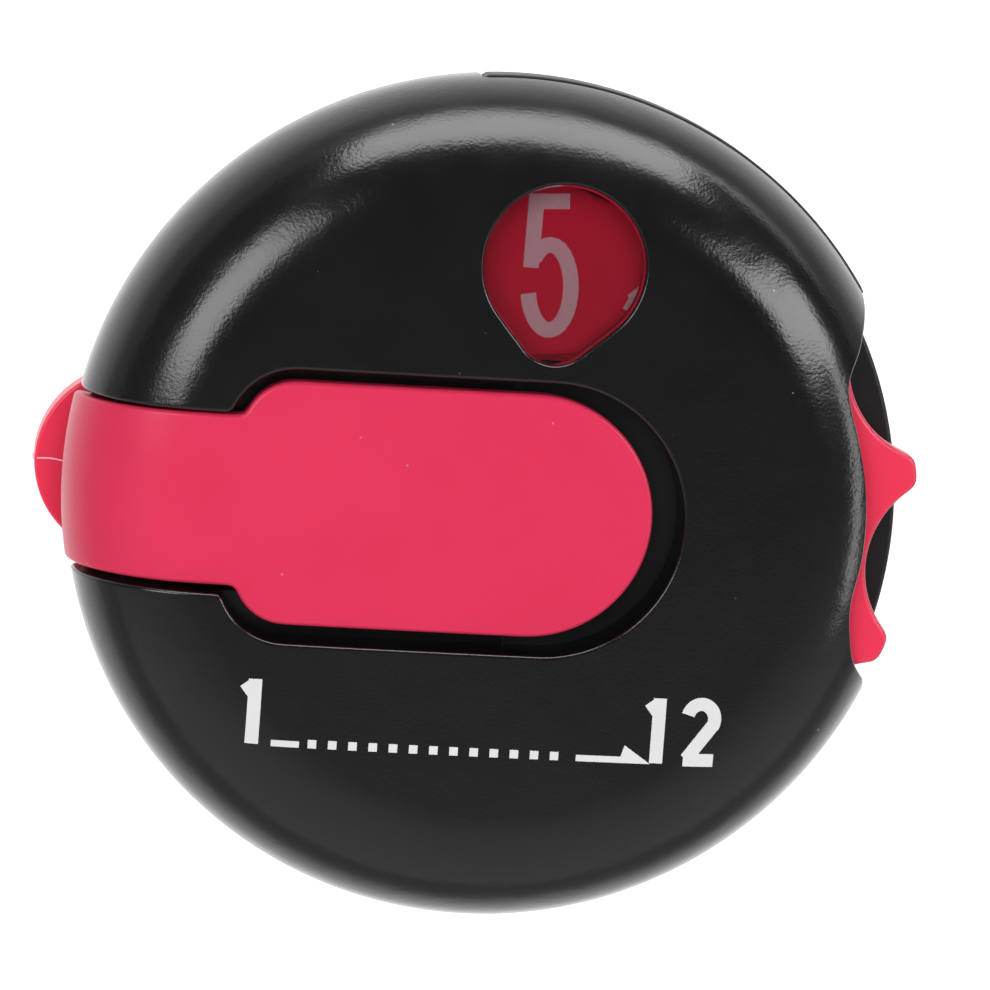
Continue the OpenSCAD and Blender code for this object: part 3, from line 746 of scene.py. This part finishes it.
def build_front_shell():
    dome = Dome(SHOULDER_R, CASE_R, SHOULDER_Z)
    shape = Shape()
    skin(shape, dome, front_loops(dome), WALL, 0.16, 0.55, thin=keep_off_wheel, down=plumb_near_window)
    wall_round_opening(shape)
    for x, y in screw_spots():
        boss = [circle_loop(x, y, SCREW_HEAD_R), circle_loop(x, y, SCREW_HEAD_R / 2, hole=True)]
        skin(shape, Flat(BOSS_TOP), boss, BOSS_TOP - PART_Z - 0.05, 0.05, 3.0, arc=2)
    for s in (-1, 1):
        lug = sorted((s * 4.6, s * 6.1))
        ledge = sorted((s * (PADDLE_HALF - 0.45), s * (PADDLE_HALF + PADDLE_GAP + 0.9)))
        corner = sorted((s * (NECK_HALF + 0.15), s * (PADDLE_HALF - 0.1)))
        block(shape, (PIVOT_X - 1.2, lug[0], PIVOT_Z - 1.4), (PIVOT_X + 1.4, lug[1], BOSS_TOP + 0.3))
        block(shape, (LEDGE_X[0], ledge[0], LEDGE_Z[0]), (LEDGE_X[1], ledge[1], LEDGE_Z[1]), 0.05)
        low_z, high_z = (z - 0.01 for z in LEDGE_Z)
        block(shape, (LEDGE_X[0], corner[0], low_z), (LEDGE_CORNER_X, corner[1], high_z), 0.05)
    return shape


def wall_round_opening(shape):
    """Wall that hangs down round the paddle opening."""
    low_z, high_z, thick = WALL_ROUND_OPENING
    upper, lower = opening_edges(PADDLE_GAP, END_GAP)
    path = turn_plan(np.vstack([upper, lower[::-1]]))
    along = unit(np.gradient(path, axis=0))
    wide = path + pairs(-along[:, 1], along[:, 0]) * thick
    corners = ((path, high_z), (path, low_z), (wide, low_z), (wide, high_z))
    rows = [shape.points(np.column_stack([line, np.full(len(line), z)])) for line, z in corners]
    for k in range(len(path) - 1):
        for a, b in zip(rows, rows[1:] + rows[:1]):
            shape.face((a[k], b[k], b[k + 1], a[k + 1]))
    shape.face([rows[k][0] for k in (0, 3, 2, 1)])
    shape.face([row[-1] for row in rows])


def button_loop(dome):
    upper, lower = opening_edges(0, 0)
    turn = math.degrees(math.asin(NECK_HALF / (CASE_R + BUTTON_PROUD)))
    loop = np.vstack([
        slot_side(dome, NECK_HALF, lower[0][0], BUTTON_FOOT_Z, -1)[1:-1],
        dome.flatten_plan(lower),
        dome.flatten_plan(upper[::-1]),
        slot_side(dome, NECK_HALF, upper[0][0], BUTTON_FOOT_Z, 1)[::-1][1:-1],
        rim_arc(dome, 180 - turn, 180 + turn, BUTTON_FOOT_Z),
    ])
    return turn_plan(soften(loop, 0.2, 0.26), PADDLE_SHIFT)


def build_button():
    dome = Dome(BUTTON_SHOULDER_R, CASE_R + BUTTON_PROUD, BUTTON_SHOULDER_Z)
    shape = Shape()
    skin(shape, dome, [button_loop(dome)], BUTTON_T, 0.24, 0.5, arc=5)
    for s in (-1, 1):
        y = s * 2.9 + HINGE_SHIFT
        rod(shape, (PIVOT_X, y, PIVOT_Z), (0, 1, 0), 1.45, 1.9)
        block(shape, (PIVOT_X - 0.9, y - 0.9, PIVOT_Z + 0.4), (PIVOT_X + 1.2, y + 0.9, 10.3))
    # leg down to the pawl, and its foot
    near_x, far_x = BUTTON_LEG_X
    block(shape, (near_x, -3.85, 6.3), (far_x, -1.95, PIVOT_Z))
    block(shape, (near_x, -5.3, 6.05), (far_x, -2.3, 7.25))
    return shape


def wheel_loop():
    """Outline of the thumb wheel: a round tip between each two finger scallops."""
    turn = np.radians(np.arange(0, 360, 0.25))
    reach = np.full(len(turn), TIP_R)
    for k in range(TEETH):
        middle = math.radians(FIRST_TOOTH + TOOTH_PITCH / 2 + TOOTH_PITCH * k)
        off = (turn - middle + math.pi) % (2 * math.pi) - math.pi
        under = SCALLOP_R**2 - (SCALLOP_X * np.sin(off)) ** 2
        near = np.abs(off) < 0.4
        hit = SCALLOP_X * np.cos(off) - np.sqrt(np.maximum(under, 0))
        reach = np.where(near & (under > 0), np.minimum(reach, hit), reach)
    loop = pairs(WHEEL_X + reach * np.cos(turn), reach * np.sin(turn))
    loop = soften(loop, 0.3, 0.22)
    arm = loop - [WHEEL_X, 0]
    return [WHEEL_X, 0] + arm * (TIP_R / np.linalg.norm(arm, axis=1).max())


def build_wheel():
    """The toothed ring, the thinner web inside it, the hub and the lug for the end stop."""
    shape = Shape()
    ring = [wheel_loop(), circle_loop(WHEEL_X, 0, RECESS_R, hole=True)]
    skin(shape, Flat(WHEEL_TOP), ring, WHEEL_T, 0.26, 1.0, round_back=True)
    web = [circle_loop(WHEEL_X, 0, RECESS_R + 0.4), circle_loop(WHEEL_X, 0, 1.55, hole=True)]
    skin(shape, Flat(9.0), web, 0.36, 0.03, 3.0, arc=1)
    hub = [circle_loop(WHEEL_X, 0, 3.2), circle_loop(WHEEL_X, 0, 2.45, hole=True)]
    skin(shape, Flat(8.7), hub, 1.1, 0.05, 2.0, arc=1)
    rod(shape, (WHEEL_X - 9.0, 0, 7.65), (0, 0, 1), 0.8, 0.44)
    return shape


# ---- numbers
def bow(cx, cy, rx, ry, start, end, count=26):
    a = np.radians(np.linspace(start, end, count))
    return pairs(cx + rx * np.cos(a), cy + ry * np.sin(a))


def oval(cy, rx, ry):
    return bow(0, cy, rx, ry, 0, 360, 49)


def digit_strokes(d):
    """Centre lines of a digit in a box from -1 to 1 both ways."""
    strokes = {
        0: [oval(0, 0.86, 0.9)],
        1: [[(0.2, 1), (0.2, -1)],
            [(-0.7, 0.6), (0.15, 0.84)]],
        2: [bow(0, 0.42, 0.82, 0.48, 165, -30),
            [(0.74, 0.24), (-0.74, -0.86)],
            [(-0.92, -0.89), (0.92, -0.89)]],
        3: [np.vstack([bow(-0.02, 0.46, 0.76, 0.44, 155, -80), [(-0.3, 0.02)]]),
            bow(-0.02, -0.43, 0.84, 0.46, 100, -155)],
        4: [[(0.42, -1), (0.42, 0.86)],
            [(0.42, 0.86), (-0.8, -0.46)],
            [(-0.95, -0.5), (0.98, -0.5)]],
        5: [[(0.78, 0.9), (-0.62, 0.9), (-0.82, -0.03)],
            bow(-0.02, -0.31, 0.9, 0.6, 138, -172)],
        6: [np.vstack([bow(0.02, 0.36, 0.84, 0.53, 30, 170), [(-0.85, -0.36)]]),
            oval(-0.36, 0.84, 0.53)],
        7: [[(-0.88, 0.89), (0.84, 0.89), (-0.2, -1)]],
        8: [oval(0.46, 0.74, 0.43),
            oval(-0.42, 0.86, 0.47)],
        9: [np.vstack([bow(-0.02, -0.36, 0.84, 0.53, 210, 350), [(0.85, 0.36)]]),
            oval(0.36, 0.84, 0.53)],
    }
    return [np.asarray(s, float) for s in strokes[d]]


def split_long(path, step):
    """The same open line with extra points, so that it can follow a curved surface."""
    out = [path[0]]
    for p, q in zip(path, path[1:]):
        parts = max(1, int(math.ceil(np.linalg.norm(q - p) / step)))
        out += [p + (q - p) * k / parts for k in range(1, parts + 1)]
    return np.array(out)


def ribbon(shape, path, width, place, height, step=50.0):
    """A flat painted line along a path. place(xy) gives points and normals of the surface under it."""
    path = split_long(np.asarray(path, float), step)
    steps = unit(np.diff(path, axis=0))
    closed = np.linalg.norm(path[0] - path[-1]) < 1e-6
    before = np.vstack([steps[-1:] if closed else steps[:1], steps])
    after = np.vstack([steps, steps[:1] if closed else steps[-1:]])
    along = unit(before + after)
    stretch = 1 / np.maximum(0.5, np.sum(along * after, axis=1))
    side = pairs(-along[:, 1], along[:, 0]) * (width / 2 * stretch)[:, None]
    left, nl = place(path + side)
    right, nr = place(path - side)
    top_l, top_r = shape.points(left + nl * height), shape.points(right + nr * height)
    low_l, low_r = shape.points(left), shape.points(right)
    for k in range(len(path) - 1):
        j = k + 1
        shape.face((top_r[k], top_r[j], top_l[j], top_l[k]), (nr[k], nr[j], nl[j], nl[k]))
        shape.face((low_l[k], low_l[j], low_r[j], low_r[k]))
        shape.face((top_l[k], top_l[j], low_l[j], low_l[k]))
        shape.face((low_r[k], low_r[j], top_r[j], top_r[k]))
    shape.face((top_l[0], low_l[0], low_r[0], top_r[0]))
    shape.face((top_r[-1], low_r[-1], low_l[-1], top_l[-1]))


def draw_digit(shape, d, width, height, line, to_plan, place, step=50.0):
    """Paints a digit. Each next stroke is a touch thinner, so that no two tops coincide."""
    reach = [width / 2 - 0.4 * line, height / 2]
    for n, stroke in enumerate(digit_strokes(d)):
        ribbon(shape, to_plan(stroke * reach), line, place, PRINT_T - STROKE_STEP_DOWN * n, step)


def build_numerals():
    """The numbers 1 to 12 on the wheel. Those at the window are larger, as seen through its pane."""
    shape = Shape()
    flat = Flat(WHEEL_TOP)
    lean_c, lean_s = math.cos(DIGIT_LEAN), math.sin(DIGIT_LEAN)

    def on_wheel(angle, shift, ring):
        a = math.radians(angle)

        def to_plan(points):
            x = points[:, 0] * lean_c - points[:, 1] * lean_s + shift * lean_c
            y = points[:, 0] * lean_s + points[:, 1] * lean_c + shift * lean_s + ring
            plan_x = WHEEL_X + x * math.cos(a) - y * math.sin(a)
            return pairs(plan_x, x * math.sin(a) + y * math.cos(a))
        return to_plan

    def draw(digit, wide, line, shift):
        draw_digit(shape, digit, wide, tall, line, on_wheel(angle, shift, ring), flat.place)

    for number in range(1, TEETH + 1):
        angle = WINDOW_ANGLE + TOOTH_PITCH * (number - NUMBER_AT_REST) - 90
        tall, ring = (6.65, 11.44) if abs(number - NUMBER_AT_REST) <= 1 else (6.0, 11.0)
        if number >= 10:
            draw(1, 1.4, 0.47, -1.26)
            draw(number % 10, 1.96, 0.47, 0.56)
        elif number == 4:
            draw(number, 3.4, 0.72, -0.27)
        else:
            draw(number, 2.8, 0.72, 0.0)
    return shape


def build_legend():
    """Painted scale on the face: 1, a dotted line with an arrow, 12."""
    shape = Shape()
    dome = Dome(SHOULDER_R, CASE_R, SHOULDER_Z)

    def place(xy):
        return dome.place(dome.flatten_plan(turn_plan(xy)))

    def digit(d, x, width, height):
        middle = [x, LEGEND_Y + 1.55]
        draw_digit(shape, d, width, height, 0.62, lambda points: points + middle, place, 0.6)

    def line(x0, x1, y, width):
        count = max(2, int((x1 - x0) / 0.3))
        xs = np.linspace(x0, x1, count)
        ribbon(shape, pairs(xs, np.full(count, y)), width, place, PRINT_T)

    digit(1, -11.1, 1.6, 3.1)
    digit(1, 7.75, 1.6, 3.1)
    digit(2, 9.85, 2.05, 3.0)
    line(-10.1, -8.8, LEGEND_Y + 0.1, 0.3)
    for k in range(13):
        x = -8.4 + 0.94 * k
        line(x, x + 0.4, LEGEND_Y + 0.15, 0.4)
    line(4.1, 6.7, LEGEND_Y + 0.1, 0.3)
    # head of the arrow
    foot = LEGEND_Y - 0.05
    p, n = place(np.array([(6.1, foot), (7.6, foot), (6.35, foot + 0.85)]))
    top = shape.points(p + n * (PRINT_T - STROKE_STEP_DOWN))
    low = shape.points(p)
    shape.face(top, n)
    shape.face(low[::-1])
    for k in range(3):
        j = (k + 1) % 3
        shape.face((top[k], low[k], low[j], top[j]))
    return shape


# ---- window, back and clip
def build_lens():
    shape = Shape()
    dome = Dome(SHOULDER_R - PANE_SUNK, CASE_R - PANE_SUNK, SHOULDER_Z)
    loop = resample(dome.flatten_plan(window_loop(-0.03)[::-1]), 0.2)
    skin(shape, dome, [loop], PANE_T, 0.05, 0.8, arc=2)
    return shape


def sector_loop(steps, step=0.4):
    """Closed line at a radius that changes with the angle: (from, to, radius) in degrees."""
    loop = np.vstack([arc_points(0, 0, r, a, b) for a, b, r in steps])
    return soften(loop, 0.12, step)


def build_rear_shell():
    shape = Shape()
    around_notch = (NOTCH_LOW, NOTCH_TOP, DECK_R)
    rim = sector_loop([around_notch, (NOTCH_TOP, 360 + NOTCH_LOW, BASE_R)])
    seen_from_below = (rim * [-1, 1])[::-1]
    skin(shape, Flat(BACK_Z, up=False), [seen_from_below], FLOOR_Z - BACK_Z + 0.05, 1.15, 1.2, arc=6)
    # ring above the plate with the well for the ratchet
    deck = sector_loop([around_notch, (NOTCH_TOP, 360 + NOTCH_LOW, LIP_R)])
    well = circle_loop(WHEEL_X, 0, WELL_R, hole=True)
    skin(shape, Flat(PART_Z), [deck, well], PART_Z - FLOOR_Z, 0.22, 1.4)
    skirt = [resample(rim, 0.5), circle_loop(0, 0, LIP_INNER_R, hole=True)]
    skin(shape, Flat(SKIRT_Z), skirt, SKIRT_Z - FLOOR_Z, 0.08, 1.4, arc=2)
    # raised band that shows at the upper right rim
    band = np.vstack([arc_points(0, 0, CASE_R, NOTCH_TOP, BAND_TOP),
                      arc_points(0, 0, LIP_INNER_R, BAND_TOP, NOTCH_TOP)])
    band_top = PART_Z - 0.04
    skin(shape, Flat(band_top), [soften(band, 0.1, 0.3)], PART_Z - SKIRT_Z - 0.04, 0.1, 1.4, arc=3,
         round_back=True)
    for s in (-1, 1):
        knuckle(shape, s * CASE_KNUCKLE_Y, CLIP_AXIS[1], 4.0)
    return shape


def knuckle(shape, y, low_z, high_z):
    """One knuckle of the clip's hinge with the cheek that carries it."""
    x, z = CLIP_AXIS
    r, half = CLIP_KNUCKLE_R, CLIP_KNUCKLE_T / 2
    rod(shape, (x, y, z), (0, 1, 0), r, CLIP_KNUCKLE_T, 0.15)
    block(shape, (x - r, y - half, low_z), (x + r, y + half, high_z), 0.1)


def clip_loop():
    ear = arc_points(EAR_X + EAR_R, 0, EAR_R, 90, 270)
    low = [(3.0, -4.5), (3.0, -JAW_HALF)]
    corner_low = arc_points(JAW_X - 3, 3 - JAW_HALF, 3, -90, 0)
    corner_high = arc_points(JAW_X - 3, JAW_HALF - 3, 3, 0, 90)
    high = [(3.0, JAW_HALF), (3.0, 4.5)]
    return turn_plan(soften(np.vstack([ear, low, corner_low, corner_high, high]), 0.3, 0.35))


def build_clip():
    shape = Shape()
    slot = np.array([(-10, -2.8), (-10, 2.8), (-6, 2.8), (-6, -2.8)])
    outline = [clip_loop(), soften(slot, 0.2, 0.3)]
    skin(shape, Flat(CLIP_T), outline, CLIP_T, 0.16, 1.5, arc=5, round_back=True)
    for s in (-1, 1):
        knuckle(shape, s * PLATE_KNUCKLE_Y, 0.9, CLIP_AXIS[1])
    # ridge that grips against the back
    ridge_r = 1.6
    rod(shape, (JAW_X - 2.1, 0, BACK_Z - 0.05 - ridge_r), (0, 1, 0), ridge_r, 8.0, 0.3)
    return shape


def build_clip_seam():
    """Mould line across the ear of the clip, with the gate nib at its end."""
    shape = Shape()
    top = Flat(CLIP_T)
    wander = np.linspace(0, 1, 14)
    line = pairs(EAR_X + 0.12 + 2.6 * wander, 0.05 * np.sin(7 * wander) - 0.12 * wander)
    ribbon(shape, turn_plan(line), 0.07, top.place, 0.03)
    nib = turn_plan([(EAR_X + 0.12, 0.0)])[0]
    rod(shape, (nib[0], nib[1], CLIP_T * 0.55), (0, 0, 1), 0.2, 0.7, 0.08, 16)
    return shape


def tube(shape, path, r, sides=12):
    """A round wire along a path of 3-D points."""
    path = np.asarray(path, float)
    along = unit(np.gradient(path, axis=0))
    side = unit(np.cross(along, [0.13, 0.97, 0.21]))
    third = np.cross(along, side)
    turn = np.linspace(0, 2 * math.pi, sides, endpoint=False)
    rings = []
    for p, s, t in zip(path, side, third):
        n = np.cos(turn)[:, None] * s + np.sin(turn)[:, None] * t
        rings.append((shape.points(p + r * n), n))
    for (a, na), (b, nb) in zip(rings, rings[1:]):
        shape.strip(b, a, nb, na)
    shape.face(rings[0][0][::-1])
    shape.face(rings[-1][0])


def build_clip_spring():
    shape = Shape()
    turns, r, wire, count = 10.5, 1.0, 0.19, 360
    a = np.linspace(0, 2 * math.pi * turns, count)
    y = np.linspace(-1.95, 1.95, count)
    coil = np.stack([CLIP_AXIS[0] + r * np.sin(a), y, CLIP_AXIS[1] + r * np.cos(a)], 1)
    leg = [coil[0] + np.array([-k * 0.17, 0, k * 0.016]) for k in range(11, 0, -1)]
    tube(shape, np.vstack([leg, coil]), wire)
    return shape


def build_screws():
    shape = Shape()
    arm, half = 0.95, 0.17
    cross = np.array([
        (half, half), (half, arm), (-half, arm), (-half, half),
        (-arm, half), (-arm, -half), (-half, -half), (-half, -arm),
        (half, -arm), (half, -half), (arm, -half), (arm, half),
    ])
    cross = soften(cross, 0.05, 0.08)[::-1]
    for x, y in screw_spots():
        head = circle_loop(-x, y, SCREW_HEAD_R, 0.2)
        skin(shape, Flat(BACK_Z - SCREW_PROUD, up=False), [head, cross + [-x, y]], 0.6, 0.06, 0.5, arc=3)
        rod(shape, (x, y, BACK_Z + 3.6), (0, 0, 1), 0.8, 5.9, 0.05)
    return shape


# ---- stage, in metres
WHITE = (1, 1, 1, 1)
MIDDLE = (0, 0, 0.008)
GLOSS_LAMPS = (
    ("left_box", (-0.235, 0.142, 0.27), MIDDLE, (0.20, 0.16), 0.64),
    ("right_box", (0.27, 0.12, 0.22), MIDDLE, (0.10, 0.22), 0.48),
    ("back_card", (0.05, 0.42, 0.10), MIDDLE, (0.50, 0.20), 2.1),
    ("back_sheet", (0.09, 0.19, 0.001), (0.09, 0.19, 1.0), (0.26, 0.20), 0.7),
    ("side_strip", (0.40, -0.02, 0.20), MIDDLE, (0.26, 0.05), 0.22),
)
VIEW_WIDTH = 0.04648
CAMERA_ROLL = math.radians(2.5)


def lamp(name, at, look, size, power, soft=False):
    """A flat lamp that lights the gloss only or, when soft, the matt part of surfaces only."""
    data = bpy.data.lights.new(name, "AREA")
    data.shape = "RECTANGLE"
    data.size, data.size_y = size
    data.energy = power
    obj = bpy.data.objects.new(name, data)
    obj.location = Vector(at)
    obj.rotation_euler = (Vector(look) - Vector(at)).to_track_quat("-Z", "Y").to_euler()
    obj.visible_camera = False
    obj.visible_diffuse = soft
    obj.visible_glossy = not soft
    bpy.context.scene.collection.objects.link(obj)


def build_stage():
    """Paper floor, lamps and surroundings."""
    mesh = bpy.data.meshes.new("floor")
    half = 1.2
    corners = [(-half, -half, 0), (half, -half, 0), (half, half, 0), (-half, half, 0)]
    mesh.from_pydata(corners, [], [(0, 1, 2, 3)])
    mesh.materials.append(paper())
    floor = bpy.data.objects.new("floor", mesh)
    bpy.context.scene.collection.objects.link(floor)
    floor.location.z = -0.0001
    build_world()
    for values in GLOSS_LAMPS:
        lamp(*values)
    lamp("top_soft", (-0.05, 0.10, 0.45), MIDDLE, (0.26, 0.26), 1.8, soft=True)


def paper():
    """The counter's gloss sees the paper bright close by and dark far away, the camera sees it white."""
    m = Nodes("paper")
    seen = m.add("ShaderNodeLightPath").outputs["Is Camera Ray"]
    reach = m.add("ShaderNodeVectorMath", operation="LENGTH")
    m.link(m.place, reach.inputs[0])
    pool = m.ramp(reach.outputs["Value"], 1.15, 0.03, 0.024, 0.05)
    m.set(Base_Color=m.mix(seen, (0.30, 0.30, 0.30), (0.93, 0.93, 0.93)), Roughness=0.7)
    m.set(Emission_Color=WHITE, Emission_Strength=m.pick(seen, pool, 0.6))
    m.clear_from_behind()
    return m.material


def build_world():
    """Dim overhead, brighter towards the sides, plain white where the camera looks past the floor."""
    world = bpy.data.worlds.new("studio")
    world.use_nodes = True
    t = Tree(world.node_tree)
    sky = t.tree.nodes["Background"]
    way = t.add("ShaderNodeTexCoord").outputs["Generated"]
    fade = t.ramp(t.part(way, "Z"), 0.06, 0.13, 0.95, 0.35, "SMOOTHSTEP")
    near = t.ramp(t.part(way, "Y"), 0.0, 0.55, 0.1, -0.7, "SMOOTHSTEP")
    seen = t.add("ShaderNodeLightPath").outputs["Is Camera Ray"]
    t.link(t.pick(seen, t.join("ADD", fade, near), 1.0), sky.inputs["Strength"])
    sky.inputs["Color"].default_value = WHITE
    bpy.context.scene.world = world


def build_camera():
    """Camera nearly over the face, tipped about 11 degrees towards the window side."""
    look = Vector((0.00010, 0.00022, 0.0074))
    away = Vector((-0.103, 0.155, 0.974)).normalized()
    distance = 0.30
    data = bpy.data.cameras.new("camera")
    data.sensor_width = 36.0
    data.lens = data.sensor_width * distance / VIEW_WIDTH
    data.clip_start = 0.01
    camera = bpy.data.objects.new("camera", data)
    cos, sin = math.cos(CAMERA_ROLL), math.sin(CAMERA_ROLL)
    right = Vector((0.0, 1.0, 0.0)).cross(away).normalized()
    up = away.cross(right).normalized()
    basis = Matrix((right * cos + up * sin, up * cos - right * sin, away)).transposed()
    camera.matrix_world = Matrix.Translation(look + away * distance) @ basis.to_4x4()
    bpy.context.scene.collection.objects.link(camera)
    bpy.context.scene.camera = camera


# ---- build
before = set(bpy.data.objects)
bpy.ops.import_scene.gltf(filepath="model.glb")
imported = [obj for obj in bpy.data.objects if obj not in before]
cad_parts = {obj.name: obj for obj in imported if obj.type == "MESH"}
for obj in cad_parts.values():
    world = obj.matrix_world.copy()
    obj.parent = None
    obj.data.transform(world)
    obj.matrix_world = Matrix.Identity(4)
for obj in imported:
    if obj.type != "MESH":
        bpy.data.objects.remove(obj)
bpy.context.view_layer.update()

black = plastic("black_shell", (0.0055, 0.0055, 0.0057), (0.0078, 0.0075, 0.0075), 0.18,
                peel=0.9, peel_scale=6500, dust=0.6)
black_back = plastic("black_back", (0.008, 0.008, 0.0085), (0.011, 0.0105, 0.0105), 0.46,
                     peel=0.3, dust=0.3, shine=0.35)
pink = plastic("pink_button", (0.78, 0.036, 0.105), (0.75, 0.032, 0.096), 0.34,
               peel=0.12, dust=0.35, glow=0.12, shine=0.3)
# The clip and wheel pinks are set a little brighter than the paddle pink and glow faintly: painted light
pink_clip = plastic("pink_clip", (0.84, 0.032, 0.086), (0.81, 0.028, 0.078), 0.36,
                    peel=0.12, dust=0.3, glow=0.2, painted_glow=0.05)
pink_wheel = plastic("pink_wheel", (0.90, 0.038, 0.100), (0.87, 0.034, 0.090), 0.33,
                     peel=0.12, dust=0.3, glow=0.12, painted_glow=0.04)
seam = plastic("seam_pink", (0.95, 0.55, 0.60), (0.90, 0.48, 0.54), 0.5, peel=0.3)
print_white = plastic("print_white", (0.80, 0.80, 0.80), (0.74, 0.74, 0.74), 0.5,
                      peel=0.5, peel_scale=3500)
print_wheel = plastic("print_wheel", (0.99, 0.99, 0.96), (0.94, 0.93, 0.91), 0.5,
                      peel=0.5, peel_scale=3500)
acetal = plastic("acetal", (0.78, 0.76, 0.70), (0.74, 0.72, 0.66), 0.42, peel=0.15)
steel = metal("steel", (0.62, 0.62, 0.64), 0.3)
spring_steel = metal("spring_steel", (0.42, 0.42, 0.44), 0.34)
pane = clear("clear_pane")

CAD_MATERIALS = (
    (black_back, ("rear_shell", "hub_cover", "button_pin", "button_spring")),
    (acetal, ("ratchet_wheel", "pawl")),
    (spring_steel, ("return_spring", "pawl_leaf", "pawl_spring")),
    (steel, ("stop_pin", "wheel_axle", "thrust_washer", "axle_screw", "pawl_pin", "clip_pin")),
)
made_of = {node: material for material, nodes in CAD_MATERIALS for node in nodes}
for node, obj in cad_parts.items():
    obj.data.materials.clear()
    obj.data.materials.append(made_of.get(node, black))

PIECES = (
    ("face_shell", build_front_shell, black, "case", "front_shell"),
    ("reset_paddle", build_button, pink, "button", "reset_button"),
    ("thumb_wheel", build_wheel, pink_wheel, "wheel", "count_wheel"),
    ("wheel_print", build_numerals, print_wheel, "wheel", "wheel_numerals"),
    ("face_print", build_legend, print_white, "case", "front_legend"),
    ("window_pane", build_lens, pane, "case", "window_lens"),
    ("back_shell", build_rear_shell, black_back, "case", "rear_shell"),
    ("clip_plate", build_clip, pink_clip, "clip", "clip_lever"),
    ("clip_seam", build_clip_seam, seam, "clip", "clip_lever"),
    ("clip_coil", build_clip_spring, spring_steel, "case", "clip_spring"),
    ("back_screws", build_screws, steel, "case", "case_screws"),
)
for piece, build, material, body, node in PIECES:
    obj = build().make(piece, material, body)
    if piece != "clip_seam":
        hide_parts(node)

build_stage()
build_camera()
scene = bpy.context.scene
scene.view_settings.view_transform = "Standard"
scene.view_settings.look = "None"
